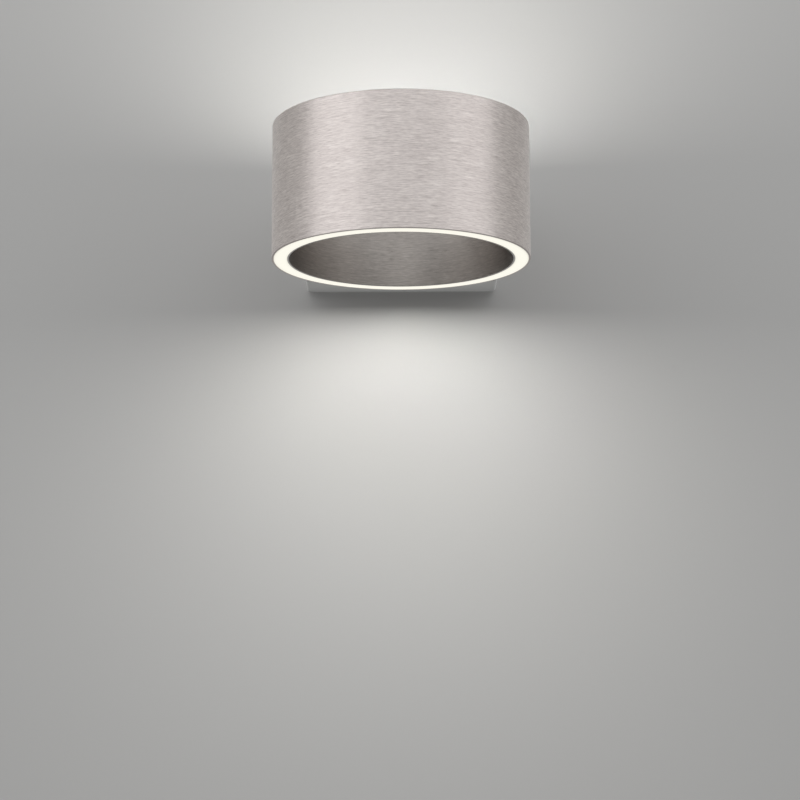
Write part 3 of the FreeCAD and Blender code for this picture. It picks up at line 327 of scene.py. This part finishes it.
@dataclass(frozen=True)
class BrushedMetal:
    """Satin sheet brushed round the tube: short level streaks of uneven tone, gloss and relief.

    Attributes:
        ends: heights of the sleeve's two cut ends, in metres.
        colour: the metal's own colour.
        roughness: the mean roughness.
        streak_height: height of one fine streak, in metres.
        streak_length: length of one streak round the tube, in metres.
        contrast: how far a streak's tone leaves the mean.
        edge: how far the painted shade at each cut end reaches, in metres.
        edge_share: brightness of that painted shade, as a share of the colour.
        anisotropy: how far the brushing draws the highlights out.
        lay: turn of the brushing from the default, in turns.
        relief: depth of the streaks, in metres.
    """

    ends: tuple[float, float]
    colour: Colour = (0.78, 0.69, 0.667)
    roughness: float = 0.45
    streak_height: float = 0.55 * MILLIMETRE
    streak_length: float = 4.5 * MILLIMETRE
    contrast: float = 0.36
    edge: float = 0.3 * MILLIMETRE
    edge_share: float = 0.5
    anisotropy: float = 0.65
    lay: float = 0.25
    relief: float = 0.02 * MILLIMETRE

    def material(self, name: str) -> bpy.types.Material:
        """Builds the finish.

        Args:
            name: the material's name.

        Returns:
            The new material.
        """
        graph = new_graph(name)
        place = graph.place()
        fine = self._streaks(graph, place, self.streak_height, self.streak_length)
        hair = self._streaks(graph, place, self.streak_height / 2, self.streak_length * 3)
        wide = self._streaks(graph, place, self.streak_height * 7, self.streak_length * 4)
        cloud = graph.noise(place, 1 / (40 * MILLIMETRE), LIGHT_NOISE)
        streak = fine * 0.5 + hair * 0.4 + wide * 0.1
        tone = varied(MIDDLE, (streak, 2.8), (cloud, 0.12))
        brushed = graph.shaded(tone, self.colour, 1 - self.contrast, 1 + self.contrast)
        _, _, height = graph.coordinates(place)
        foot, rim = self.ends
        # Painted shade: the brushed colour is darkened at both cut ends of the sleeve.
        cut = ((height > rim - self.edge) + (height < foot + self.edge)).clamped()
        colour = graph.blend(cut, brushed, scaled(self.colour, self.edge_share))
        rough = varied(self.roughness, (fine, 0.22), (cloud, 0.08))
        return graph.finish(Base_Color=colour, Metallic=1.0, Roughness=rough, Anisotropic=self.anisotropy,
                            Anisotropic_Rotation=self.lay, Normal=graph.bump(streak, 0.12, self.relief))

    @staticmethod
    def _streaks(graph: Graph, place: bpy.types.NodeSocket, height: float, length: float) -> Wire:
        """Noise drawn out level: length along x and y, height along z."""
        stretched = graph.vector("MULTIPLY", place, (1 / length, 1 / length, 1 / height))
        return graph.noise(stretched, 1.0, 3.0, 0.6)


@dataclass(frozen=True)
class PowderCoat:
    """Fine matt powder coat with a slight orange peel.

    Attributes:
        colour: the coat's colour.
        roughness: the mean roughness.
        grain: width of one bead of the coat, in metres.
        relief: height of the beads, in metres.
    """

    colour: Colour = (0.80, 0.80, 0.79)
    roughness: float = 0.56
    grain: float = 0.45 * MILLIMETRE
    relief: float = 0.06 * MILLIMETRE

    def material(self, name: str) -> bpy.types.Material:
        """Builds the finish.

        Args:
            name: the material's name.

        Returns:
            The new material.
        """
        graph = new_graph(name)
        place = graph.place()
        peel = graph.noise(place, 1 / self.grain, 2.0, 0.55)
        speck = graph.noise(place, 4 / self.grain, 1.0)
        cloud = graph.noise(place, 1 / (30 * MILLIMETRE), 3.0)
        colour = graph.shaded(varied(MIDDLE, (cloud, 0.9), (speck, 0.5)), self.colour, 0.965, 1.02)
        beads = graph.bump(peel * 0.8 + speck * 0.2, 0.35, self.relief)
        return graph.finish(Base_Color=colour, Roughness=varied(self.roughness, (peel, 0.25)), Normal=beads)


@dataclass(frozen=True)
class OpalGlow:
    """Opal plastic lit from behind: warm white, a little dimmer beside the sleeves.

    Attributes:
        colour: the plastic's own colour, dark beside the glow, so that the studio's light can't make it clip.
        glow: the colour that shines out.
        strength: brightness of the glow.
        middle: the tube's axis, (x, y), in metres.
        radius: middle radius of the ring, in metres.
        half_width: half the ring's width, in metres.
        edge_share: brightness of the glow right beside the sleeves, as a share of the rest.
        gloss: level of the surface's own reflection.
        roughness: the mean roughness.
        relief: depth of the haze, in metres.
    """

    middle: tuple[float, float]
    radius: float
    half_width: float
    colour: Colour = (0.05, 0.049, 0.046)
    glow: Colour = (1.0, 0.975, 0.865)
    strength: float = 0.945
    edge_share: float = 0.72
    gloss: float = 0.1
    roughness: float = 0.5
    relief: float = 0.02 * MILLIMETRE

    def material(self, name: str) -> bpy.types.Material:
        """Builds the finish.

        Args:
            name: the material's name.

        Returns:
            The new material.
        """
        graph = new_graph(name)
        place = graph.place()
        away = graph.away_from(self.middle, place)
        offset = (away - self.radius) / self.half_width
        edge = (offset * offset) ** 3.0
        haze = graph.noise(place, 1 / (0.5 * MILLIMETRE), LIGHT_NOISE)
        dimming = (edge * 0.55 + (haze - MIDDLE) * 0.05).clamped()
        glow = graph.blend(dimming, self.glow, scaled(self.glow, self.edge_share))
        base = graph.shaded(haze, self.colour, 0.97, 1.02)
        return graph.finish(Base_Color=base, Roughness=varied(self.roughness, (haze, 0.1)), Emission_Color=glow,
                            Emission_Strength=self.strength, Specular_IOR_Level=self.gloss,
                            Normal=graph.bump(haze, 0.1, self.relief))


@dataclass(frozen=True)
class ZincSheet:
    """Zinc-plated steel: faint crystals, rolling lines and a few dull patches.

    Attributes:
        colour: the plating's colour.
        roughness: the mean roughness.
        crystal: width of one crystal, in metres.
        rolling: length and width of one rolling line, in metres.
        relief: depth of the rolling lines, in metres.
    """

    colour: Colour = (0.56, 0.57, 0.585)
    roughness: float = 0.36
    crystal: float = 2.2 * MILLIMETRE
    rolling: tuple[float, float] = (25 * MILLIMETRE, 0.4 * MILLIMETRE)
    relief: float = 0.03 * MILLIMETRE

    def material(self, name: str) -> bpy.types.Material:
        """Builds the finish.

        Args:
            name: the material's name.

        Returns:
            The new material.
        """
        graph = new_graph(name)
        place = graph.place()
        warp = graph.noise(place, 1 / (3 * MILLIMETRE), LIGHT_NOISE)
        shade = graph.cells(place, 1 / self.crystal)
        length, width = self.rolling
        lines = graph.vector("MULTIPLY", place, (1 / length, 1 / width, 1 / width))
        rolled = graph.noise(lines, 1.0, LIGHT_NOISE)
        patch = graph.noise(place, 1 / (18 * MILLIMETRE), 4.0, 0.6)
        colour = graph.shaded(varied(MIDDLE, (shade, 0.35), (rolled, 0.5), (patch, 0.7)), self.colour, 0.78, 1.15)
        rough = varied(self.roughness, (patch, 0.35), (shade, 0.08), (warp, 0.06))
        return graph.finish(Base_Color=colour, Metallic=0.95, Roughness=rough,
                            Normal=graph.bump(rolled * 0.6 + warp * 0.4, 0.15, self.relief))


@dataclass(frozen=True)
class TurnedMetal:
    """A turned or headed fastener: fine lathe marks about its own axis and a handled sheen.

    Attributes:
        colour: the metal's colour.
        roughness: the mean roughness.
        pitch: distance between two lathe marks, in metres.
        relief: depth of the marks, in metres.
    """

    colour: Colour = (0.55, 0.55, 0.56)
    roughness: float = 0.30
    pitch: float = 0.12 * MILLIMETRE
    relief: float = 0.02 * MILLIMETRE

    def material(self, name: str) -> bpy.types.Material:
        """Builds the finish.

        Args:
            name: the material's name.

        Returns:
            The new material.
        """
        graph = new_graph(name)
        place = graph.place()
        marks = graph.noise(place, 1 / self.pitch, 1.0)
        wear = graph.noise(place, 1 / (1.6 * MILLIMETRE), 3.0, 0.6)
        colour = graph.shaded(varied(MIDDLE, (marks, 0.6), (wear, 0.9)), self.colour, 0.74, 1.2)
        rough = varied(self.roughness, (wear, 0.3), (marks, 0.1))
        return graph.finish(Base_Color=colour, Metallic=1.0, Roughness=rough,
                            Normal=graph.bump(marks * 0.5 + wear * 0.5, 0.2, self.relief))


@dataclass(frozen=True)
class TurnedRing:
    """Plain aluminium turned on a lathe about the tube's axis.

    Attributes:
        middle: the tube's axis, (x, y), in metres.
        colour: the metal's colour.
        roughness: the mean roughness.
        pitch: distance between two grooves, in metres.
        relief: depth of the grooves, in metres.
    """

    middle: tuple[float, float]
    colour: Colour = (0.66, 0.67, 0.68)
    roughness: float = 0.34
    pitch: float = 0.25 * MILLIMETRE
    relief: float = 0.01 * MILLIMETRE

    def material(self, name: str) -> bpy.types.Material:
        """Builds the finish.

        Args:
            name: the material's name.

        Returns:
            The new material.
        """
        graph = new_graph(name)
        place = graph.place()
        away = graph.away_from(self.middle, place)
        _, _, height = graph.coordinates(place)
        groove = graph.wave((away + height) * (TURN / self.pitch))
        wear = graph.noise(place, 1 / (6 * MILLIMETRE), 3.0)
        colour = graph.shaded(varied(MIDDLE, (groove, 0.3), (wear, 0.6)), self.colour, 0.85, 1.1)
        return graph.finish(Base_Color=colour, Metallic=1.0, Roughness=varied(self.roughness, (wear, 0.2)),
                            Normal=graph.bump(groove, 0.2, self.relief))


@dataclass(frozen=True)
class MouldedPlastic:
    """Moulded plastic with a fine spark-eroded grain.

    Attributes:
        colour: the plastic's colour.
        roughness: the mean roughness.
        grain: width of one grain, in metres.
        relief: height of the grain, in metres.
    """

    colour: Colour
    roughness: float = 0.5
    grain: float = 0.3 * MILLIMETRE
    relief: float = 0.03 * MILLIMETRE

    def material(self, name: str) -> bpy.types.Material:
        """Builds the finish.

        Args:
            name: the material's name.

        Returns:
            The new material.
        """
        graph = new_graph(name)
        place = graph.place()
        pits = graph.noise(place, 1 / self.grain, 3.0, 0.6)
        flow = graph.noise(place, 1 / (14 * MILLIMETRE), LIGHT_NOISE)
        colour = graph.shaded(varied(MIDDLE, (flow, 1.1), (pits, 0.4)), self.colour, 0.93, 1.06)
        rough = varied(self.roughness, (pits, 0.25), (flow, 0.1))
        return graph.finish(Base_Color=colour, Roughness=rough, Normal=graph.bump(pits, 0.3, self.relief))


@dataclass(frozen=True)
class Insulation:
    """Flexible insulation of a lead, with a second colour in stripes where it has one.

    Attributes:
        colour: the lead's main colour.
        stripe: the second colour, or None.
        stripe_width: width of a stripe along the lead, in metres.
        roughness: the mean roughness.
        relief: depth of the skin's unevenness, in metres.
    """

    colour: Colour
    stripe: Union[Colour, None] = None
    stripe_width: float = 2.4 * MILLIMETRE
    roughness: float = 0.42
    relief: float = 0.02 * MILLIMETRE

    def material(self, name: str) -> bpy.types.Material:
        """Builds the finish.

        Args:
            name: the material's name.

        Returns:
            The new material.
        """
        graph = new_graph(name)
        place = graph.place()
        skin = graph.noise(place, 1 / (0.4 * MILLIMETRE), LIGHT_NOISE)
        cloud = graph.noise(place, 1 / (5 * MILLIMETRE), LIGHT_NOISE)
        colour = graph.shaded(varied(MIDDLE, (cloud, 0.9), (skin, 0.4)), self.colour, 0.85, 1.15)
        if self.stripe:
            across, inward, _ = graph.coordinates(place)
            band = graph.wave((across + inward) * (TURN / (2 * self.stripe_width))) > MIDDLE
            colour = graph.blend(band, colour, self.stripe)
        return graph.finish(Base_Color=colour, Roughness=varied(self.roughness, (skin, 0.2)),
                            Normal=graph.bump(skin, 0.2, self.relief))


# ------------------------------------------------------------------ sub-assemblies

def dress(finishes: Mapping[str, tuple[Finish, Sequence[str]]]) -> None:
    """Gives CAD nodes their materials.

    Args:
        finishes: for each material's name, its finish and the nodes that have it.
    """
    for material_name, (finish, nodes) in finishes.items():
        material = finish.material(material_name)
        for name in nodes:
            piece = frame["nodes"][name]
            piece.data.materials.clear()
            piece.data.materials.append(material)
            log.info("%s dressed as %s", name, material.name)


@dataclass
class Tube:
    """The double-walled tube: sleeves, light engine and opal rings.

    Attributes:
        inner_shaded_colour: the inner sleeve's colour, darker than the outer one's as painted shade inside the tube.
        inner_roughness: the inner sleeve's roughness.
        inner_contrast: how far its streaks' tone leaves the mean.
        rings: names of the opal rings.
        reflector_white: the reflectors' plastic.
        board_mask: the lacquer on the LED boards.
        led_phosphor: the LEDs' yellow filling.
    """

    # Painted shade: the inside of the tube gets a darker copy of the outer sleeve's brushed metal.
    inner_shaded_colour: Colour = (0.532, 0.503, 0.48)
    inner_roughness: float = 0.33
    inner_contrast: float = 0.26
    rings: Sequence[str] = ("upper_diffuser", "lower_diffuser")
    reflector_white: Finish = MouldedPlastic((0.88, 0.88, 0.87), 0.3)
    board_mask: Finish = MouldedPlastic((0.82, 0.82, 0.80), 0.35)
    led_phosphor: Finish = MouldedPlastic((0.85, 0.70, 0.25), 0.4)

    def __post_init__(self) -> None:
        """Reads the tube's axis and the ring's width from the model."""
        low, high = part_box("outer_sleeve")
        ring_low, ring_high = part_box(self.rings[0])
        inner_low, inner_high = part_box("inner_sleeve")
        self.axis = ((low.x + high.x) / 2, (low.y + high.y) / 2)
        self.rim = high.z
        self.foot = low.z
        outside = (ring_high.x - ring_low.x) / 2
        inside = (inner_high.x - inner_low.x) / 2
        self.ring_radius = (outside + inside) / 2
        self.ring_half_width = (outside - inside) / 2

    def dress(self) -> None:
        """Gives every piece of the tube its finish."""
        ends = (self.foot, self.rim)
        # The inner sleeve's darker colour is painted shade.
        inside = BrushedMetal(ends, self.inner_shaded_colour, self.inner_roughness, contrast=self.inner_contrast)
        dress({
            "brushed_metal": (BrushedMetal(ends), ["outer_sleeve"]),
            "shaded_brushed_metal_inside": (inside, ["inner_sleeve"]),
            "opal_ring": (OpalGlow(self.axis, self.ring_radius, self.ring_half_width), self.rings),
            "heat_sink": (TurnedRing(self.axis), ["core_ring"]),
            "reflector_white": (self.reflector_white, ["upper_reflector", "lower_reflector"]),
            "board_mask": (self.board_mask, ["upper_led_board", "lower_led_board"]),
            "led_phosphor": (self.led_phosphor, ["upper_leds", "lower_leds"]),
        })


@dataclass
class WallBox:
    """The wall box, its saddle and bush, and the bracket and screws that hold it.

    Attributes:
        powder_coat: the box's coat.
        saddle_nylon: the saddle's plastic.
        bush_rubber: the cable bush's rubber.
        zinc_sheet: the plating of the bracket, nuts, studs and clamp.
        stainless_screw: the screws' and washers' steel.
    """

    powder_coat: Finish = PowderCoat()
    saddle_nylon: Finish = MouldedPlastic((0.72, 0.72, 0.71))
    bush_rubber: Finish = MouldedPlastic((0.03, 0.03, 0.032), 0.6)
    zinc_sheet: Finish = ZincSheet()
    stainless_screw: Finish = TurnedMetal()

    def dress(self) -> None:
        """Gives the box and its mounting their finishes."""
        plated = ["wall_bracket", "lock_nuts", "cable_clamp", "weld_studs", "driver_nuts", "clamp_nuts"]
        screws = ["tube_screws", "upper_board_screws", "lower_board_screws"]
        screws += [piece + side for piece in ("lock_screw_", "lock_washer_") for side in ("left", "right")]
        dress({
            "powder_coat": (self.powder_coat, ["wall_box"]),
            "saddle_nylon": (self.saddle_nylon, ["tube_saddle"]),
            "bush_rubber": (self.bush_rubber, ["cable_bush"]),
            "zinc_sheet": (self.zinc_sheet, plated),
            "stainless_screw": (self.stainless_screw, screws),
        })


@dataclass
class Electrics:
    """The driver, the terminals and the leads inside the wall box.

    Attributes:
        driver_plastic: the driver's housing.
        terminal_plastic: the terminal block.
        turned_brass: the terminals' screws, and the earth stud and nut.
        tinned_copper: the earth lug.
        red, black, brown, blue, green_yellow: the leads' insulation.
    """

    driver_plastic: Finish = MouldedPlastic((0.80, 0.80, 0.79), 0.45)
    terminal_plastic: Finish = MouldedPlastic((0.74, 0.74, 0.70), 0.35)
    turned_brass: Finish = TurnedMetal((0.70, 0.52, 0.24), 0.28)
    tinned_copper: Finish = TurnedMetal((0.62, 0.61, 0.59), 0.38)
    red: Finish = Insulation((0.50, 0.03, 0.025))
    black: Finish = Insulation((0.02, 0.02, 0.02))
    brown: Finish = Insulation((0.18, 0.08, 0.035))
    blue: Finish = Insulation((0.03, 0.12, 0.45))
    green_yellow: Finish = Insulation((0.06, 0.30, 0.04), (0.75, 0.62, 0.04))

    def dress(self) -> None:
        """Gives the electrical pieces their finishes."""
        dress({
            "driver_plastic": (self.driver_plastic, ["driver_case", "driver_lid"]),
            "terminal_plastic": (self.terminal_plastic, ["terminal_block"]),
            "turned_brass": (self.turned_brass, ["terminal_screws", "earth_stud", "earth_nut"]),
            "tinned_copper": (self.tinned_copper, ["earth_lug"]),
            "lead_red": (self.red, ["lead_upper_red", "lead_lower_red"]),
            "lead_black": (self.black, ["lead_upper_black", "lead_lower_black"]),
            "lead_brown": (self.brown, ["lead_live"]),
            "lead_blue": (self.blue, ["lead_neutral"]),
            "lead_green_yellow": (self.green_yellow, ["lead_earth"]),
        })


# ------------------------------------------------------------------ stage, light and camera

class Side(Enum):
    """The end of the tube that a ring of glow lamps shines from."""

    UP = 1
    DOWN = -1


@dataclass(frozen=True)
class Softbox:
    """A soft lamp that faces the tube.

    Attributes:
        name: the lamp's name.
        azimuth: degrees to the right of the viewer's side.
        elevation: degrees above the horizon.
        distance: from the tube's middle, in metres.
        size: width and height, in metres.
        watts: its power.
    """

    name: str
    azimuth: float
    elevation: float
    distance: float
    size: tuple[float, float]
    watts: float


@dataclass(frozen=True)
class LightPool:
    """A round pool of light on the wall, as the metal shows it.

    Attributes:
        height: its middle's height in the model's frame, in metres.
        size: how far from its middle it falls to half, in metres.
        gain: how much brighter than the wall its middle is.
    """

    height: float
    size: float
    gain: float


@dataclass(frozen=True)
class View:
    """The camera, at the photograph's viewing angle: below the lamp, looking up.

    Attributes:
        location: its place in the model's frame, in metres.
        pitch: how far it looks up, in degrees.
        yaw: how far it looks to the right, in degrees.
        roll: how far it leans, in degrees.
        lens: focal length, in millimetres.
        sensor: the sensor's width, in millimetres.
        far: how far it sees, in metres.
    """

    location: tuple[float, float, float] = (0.0, -1.5715, -0.4027)
    pitch: float = 10.582
    yaw: float = -0.040
    roll: float = -0.181
    lens: float = 109.2
    sensor: float = 36.0
    far: float = 60.0

    def build(self) -> None:
        """Makes the camera and gives it to the scene."""
        data = bpy.data.cameras.new("view")
        data.sensor_width = self.sensor
        data.lens = self.lens
        data.clip_end = self.far
        camera = bpy.data.objects.new("view", data)
        bpy.context.scene.collection.objects.link(camera)
        camera.location = self.location
        pitch, yaw, roll = (math.radians(angle) for angle in (self.pitch, self.yaw, self.roll))
        forward = Vector((math.sin(yaw) * math.cos(pitch), math.cos(yaw) * math.cos(pitch), math.sin(pitch)))
        right = Vector((math.cos(yaw), -math.sin(yaw), 0.0))
        up = right.cross(forward)
        leaned_right = right * math.cos(roll) + up * math.sin(roll)
        leaned_up = up * math.cos(roll) - right * math.sin(roll)
        camera.rotation_euler = Matrix((leaned_right, leaned_up, -forward)).transposed().to_euler()
        bpy.context.scene.camera = camera


@dataclass
class Studio:
    """The wall, the floor, the lamps and the camera.

    Attributes:
        tube: the tube that the glow lamps stand round.
        view: the camera.
        softboxes: the soft lamps.
        wall_colour: the painted wall behind the lamp.
        wall_reach: how far it reaches to each side and up, in metres.
        wall_gap: how far it stands behind the bracket, in metres.
        wall_level: its brightness as the metal shows it, straight behind the lamp.
        wall_rise: how much brighter it is at the sides.
        wall_pools: the pools of light on it, as the metal shows them.
        floor_colour: the floor below.
        floor_height: its height in the model's frame, in metres.
        floor_reach: how far it reaches to each side, in metres.
        sky_level: brightness of the light from above.
        ground_level: brightness of the light from below.
        horizon_share: how far the light at the horizon is from the ground's to the sky's.
        sky_slope: how fast it changes with height there.
        glow_count: lamps in one glow ring.
        glow_watts: power of one ring of glow lamps.
        glow_lean: how much the glow lamps beside the wall give way to those in front, which widens the pool of light.
        glow_spread: width of a glow lamp's beam, in degrees.
        glow_colour: the glow lamps' colour.
        glow_gap: how far they stand off the ring, in metres.
        bounce_watts: power of the lamp that stands for the wall's own light.
        bounce_size: its width and height, in metres.
        bounce_drop: how far its middle is below the tube's foot, in metres.
    """

    tube: Tube
    view: View = View()
    softboxes: Sequence[Softbox] = (
        Softbox("left_softbox", -58, 22, 1.7, (1.75, 1.4), 5.6),
        Softbox("right_softbox", 62, 22, 1.7, (1.5, 1.4), 4.1),
        Softbox("front_softbox", 5, 40, 2.0, (2.0, 0.9), 6.8),
        Softbox("top_softbox", -70, 62, 2.0, (1.5, 1.5), 4.0),
    )
    wall_colour: Colour = (0.548, 0.547, 0.54)
    wall_reach: float = 6.0
    wall_gap: float = 0.4 * MILLIMETRE
    wall_level: float = 0.35
    wall_rise: float = 0.17
    wall_pools: Sequence[LightPool] = (LightPool(0.12, 0.10, 0.48), LightPool(-0.14, 0.09, 0.38))
    floor_colour: Colour = (0.675, 0.675, 0.668)
    floor_height: float = -1.4
    floor_reach: float = 40.0
    sky_level: float = 0.56
    ground_level: float = 0.08
    horizon_share: float = 0.66
    sky_slope: float = 0.9
    glow_count: int = 12
    glow_watts: Mapping[Side, float] = field(default_factory=lambda: {Side.UP: 0.467, Side.DOWN: 0.487})
    glow_lean: float = 0.5
    glow_spread: float = 176.0
    glow_colour: Colour = (1.0, 0.98, 0.94)
    glow_gap: float = 1.5 * MILLIMETRE
    bounce_watts: float = 0.05
    bounce_size: tuple[float, float] = (0.34, 0.14)
    bounce_drop: float = 0.08

    def build(self) -> None:
        """Makes everything around the object."""
        self._world()
        self._wall()
        self._floor()
        for side in Side:
            self._glow(side)
        self._bounce()
        for softbox in self.softboxes:
            self._softbox(softbox)
        self.view.build()

    def _world(self) -> None:
        """Pale light from all round, softer from below than from above."""
        graph = Graph(bpy.data.worlds.new("even_light"))
        _, _, rise = graph.coordinates(graph.node("TexCoord", {}, {}).outputs["Generated"])
        share = (self.horizon_share + rise * self.sky_slope).clamped()
        sky = graph.blend(share, (self.ground_level,) * 3, (self.sky_level,) * 3)
        background = graph.node("Background", {}, {"Color": sky, "Strength": 1.0})
        graph.node("OutputWorld", {}, {0: background.outputs[0]})
        bpy.context.scene.world = graph.owner

    @staticmethod
    def _sheet(name: str, corners: Sequence[Vector], material: bpy.types.Material) -> bpy.types.Object:
        """Makes a flat stage piece.

        Args:
            name: its name.
            corners: its corners, in order, in metres.
            material: what it is painted with.

        Returns:
            The new object.
        """
        mesh = bpy.data.meshes.new(name)
        mesh.from_pydata([tuple(corner) for corner in corners], [], [tuple(range(len(corners)))])
        mesh.materials.append(material)
        piece = bpy.data.objects.new(name, mesh)
        bpy.context.scene.collection.objects.link(piece)
        return piece

    def _wall(self) -> None:
        """The painted wall, which is seen only from the room and blocks no light.

        What the metal shows of it is a plain picture of its brightness, so that pieces that lie flat on the wall
        don't turn black when they are looked at from behind.
        """
        graph = new_graph("wall_paint")
        place = graph.place()
        stipple = graph.noise(place, 1 / (1.2 * MILLIMETRE), LIGHT_NOISE)
        colour = graph.shaded(stipple, self.wall_colour, 0.99, 1.01)
        relief = graph.bump(stipple, 0.05, 0.1 * MILLIMETRE)
        paint = graph.node("BsdfPrincipled", {}, {"Base Color": colour, "Roughness": 0.9, "Normal": relief})
        clear = graph.node("BsdfTransparent", {}, {})
        behind = graph.node("NewGeometry", {}, {}).outputs["Backfacing"]
        shown = graph.node("Emission", {}, {"Color": self._wall_picture(graph, place), "Strength": 1.0})
        mirrored = graph.node("LightPath", {}, {}).outputs["Is Glossy Ray"]
        front = graph.node("MixShader", {}, {0: mirrored, 1: paint.outputs[0], 2: shown.outputs[0]})
        wall_paint = graph.show(graph.node("MixShader", {}, {0: behind, 1: front.outputs[0], 2: clear.outputs[0]}))
        left, right, foot, top = -self.wall_reach, self.wall_reach, self.floor_height, self.wall_reach
        corners = [Vector((x, self.wall_gap, z)) for x, z in ((left, foot), (right, foot), (right, top), (left, top))]
        wall = self._sheet("wall", corners, wall_paint)
        wall.visible_diffuse = False
        wall.visible_transmission = False
        wall.visible_shadow = False

    def _wall_picture(self, graph: Graph, place: bpy.types.NodeSocket) -> bpy.types.NodeSocket:
        """The wall's brightness as the metal shows it: even, with a pool of light above and below the tube.

        Args:
            graph: the wall's graph.
            place: the point's place on the wall.

        Returns:
            The socket of the colour that the wall shows there.
        """
        across, _, height = graph.coordinates(place)
        level = self.wall_level + (across * across * 2.0).clamped() * self.wall_rise
        for pool in self.wall_pools:
            rise = height - pool.height
            level = level + pool.gain / (1.0 + (across * across + rise * rise) / pool.size ** 2)
        return graph.blend(level, (0.0, 0.0, 0.0), (1.0, 1.0, 0.98))

    def _floor(self) -> None:
        """The plain pale floor."""
        graph = new_graph("floor_paint")
        cloud = graph.noise(graph.place(), 2.0, LIGHT_NOISE)
        floor_paint = graph.finish(Base_Color=graph.shaded(cloud, self.floor_colour, 0.99, 1.01), Roughness=0.8)
        near, far = -self.floor_reach, self.floor_reach
        corners = [Vector((x, y, self.floor_height)) for x, y in ((near, near), (far, near), (far, far), (near, far))]
        floor = self._sheet("floor", corners, floor_paint)
        floor.visible_diffuse = False

    def _lamp(self, name: str, watts: float, size: tuple[float, float], colour: Colour, place: Vector,
              turn: Matrix) -> bpy.types.Object:
        """Makes one rectangular area lamp.

        Args:
            name: its name.
            watts: its power.
            size: width and height, in metres.
            colour: its light's colour.
            place: where it stands, in metres.
            turn: how it is turned from facing down.

        Returns:
            The lamp's object.
        """
        light = bpy.data.lights.new(name, "AREA")
        light.shape = "RECTANGLE"
        light.size, light.size_y = size
        light.energy = watts
        light.color = colour
        lamp = bpy.data.objects.new(name, light)
        bpy.context.scene.collection.objects.link(lamp)
        lamp.matrix_world = Matrix.Translation(place) @ turn
        return lamp

    def _softbox(self, softbox: Softbox) -> None:
        """Makes a soft lamp that faces the tube.

        Args:
            softbox: the lamp's place, size and power.
        """
        turn, rise = math.radians(softbox.azimuth), math.radians(softbox.elevation)
        way = Vector((math.sin(turn) * math.cos(rise), -math.cos(turn) * math.cos(rise), math.sin(rise)))
        middle = Vector((*self.tube.axis, 0.0))
        facing = way.to_track_quat("Z", "Y").to_matrix().to_4x4()
        self._lamp(softbox.name, softbox.watts, softbox.size, (1.0, 1.0, 1.0), middle + way * softbox.distance, facing)

    def _glow(self, side: Side) -> None:
        """Makes a ring of small warm lamps just outside an opal ring, which light the wall as the ring does.

        Args:
            side: the end of the tube that they shine from.
        """
        rim = self.tube.rim if side is Side.UP else self.tube.foot
        height = rim + side.value * self.glow_gap
        turn = Matrix.Identity(4) if side is Side.DOWN else Euler((math.pi, 0.0, 0.0)).to_matrix().to_4x4()
        width = 2 * self.tube.ring_half_width
        for index in range(self.glow_count):
            angle = TURN * index / self.glow_count
            place = Vector((self.tube.axis[0] + self.tube.ring_radius * math.cos(angle),
                            self.tube.axis[1] + self.tube.ring_radius * math.sin(angle), height))
            watts = self.glow_watts[side] / self.glow_count * (1 - self.glow_lean * math.sin(angle))
            lamp = self._lamp("glow_%s_%02d" % (side.name.lower(), index), watts, (width, width),
                              self.glow_colour, place, turn)
            lamp.data.spread = math.radians(self.glow_spread)
            self._hide_lamp(lamp)

    def _bounce(self) -> None:
        """Makes the glow that the wall throws back at the box's underside."""
        turn = Euler((-math.pi / 2, 0.0, 0.0)).to_matrix().to_4x4()
        place = Vector((self.tube.axis[0], 0.0, self.tube.foot - self.bounce_drop))
        lamp = self._lamp("wall_bounce", self.bounce_watts, self.bounce_size, self.glow_colour, place, turn)
        self._hide_lamp(lamp)

    @staticmethod
    def _hide_lamp(lamp: bpy.types.Object) -> None:
        """Lets a lamp move with the object and keeps it out of sight and out of reflections.

        Args:
            lamp: the lamp's object.
        """
        lamp.visible_camera = False
        lamp.visible_glossy = False
        lamp.parent = frame["bodies"]["lamp"]


def main() -> None:
    """Dresses the lamp, piece by piece, and sets the stage round it."""
    logging.basicConfig(level=logging.INFO, format="%(name)s: %(message)s")
    bpy.context.scene.view_settings.view_transform = "Standard"
    tube = Tube()
    Studio(tube).build()
    for part in (tube, WallBox(), Electrics()):
        part.dress()


if __name__ == "__main__":
    main()
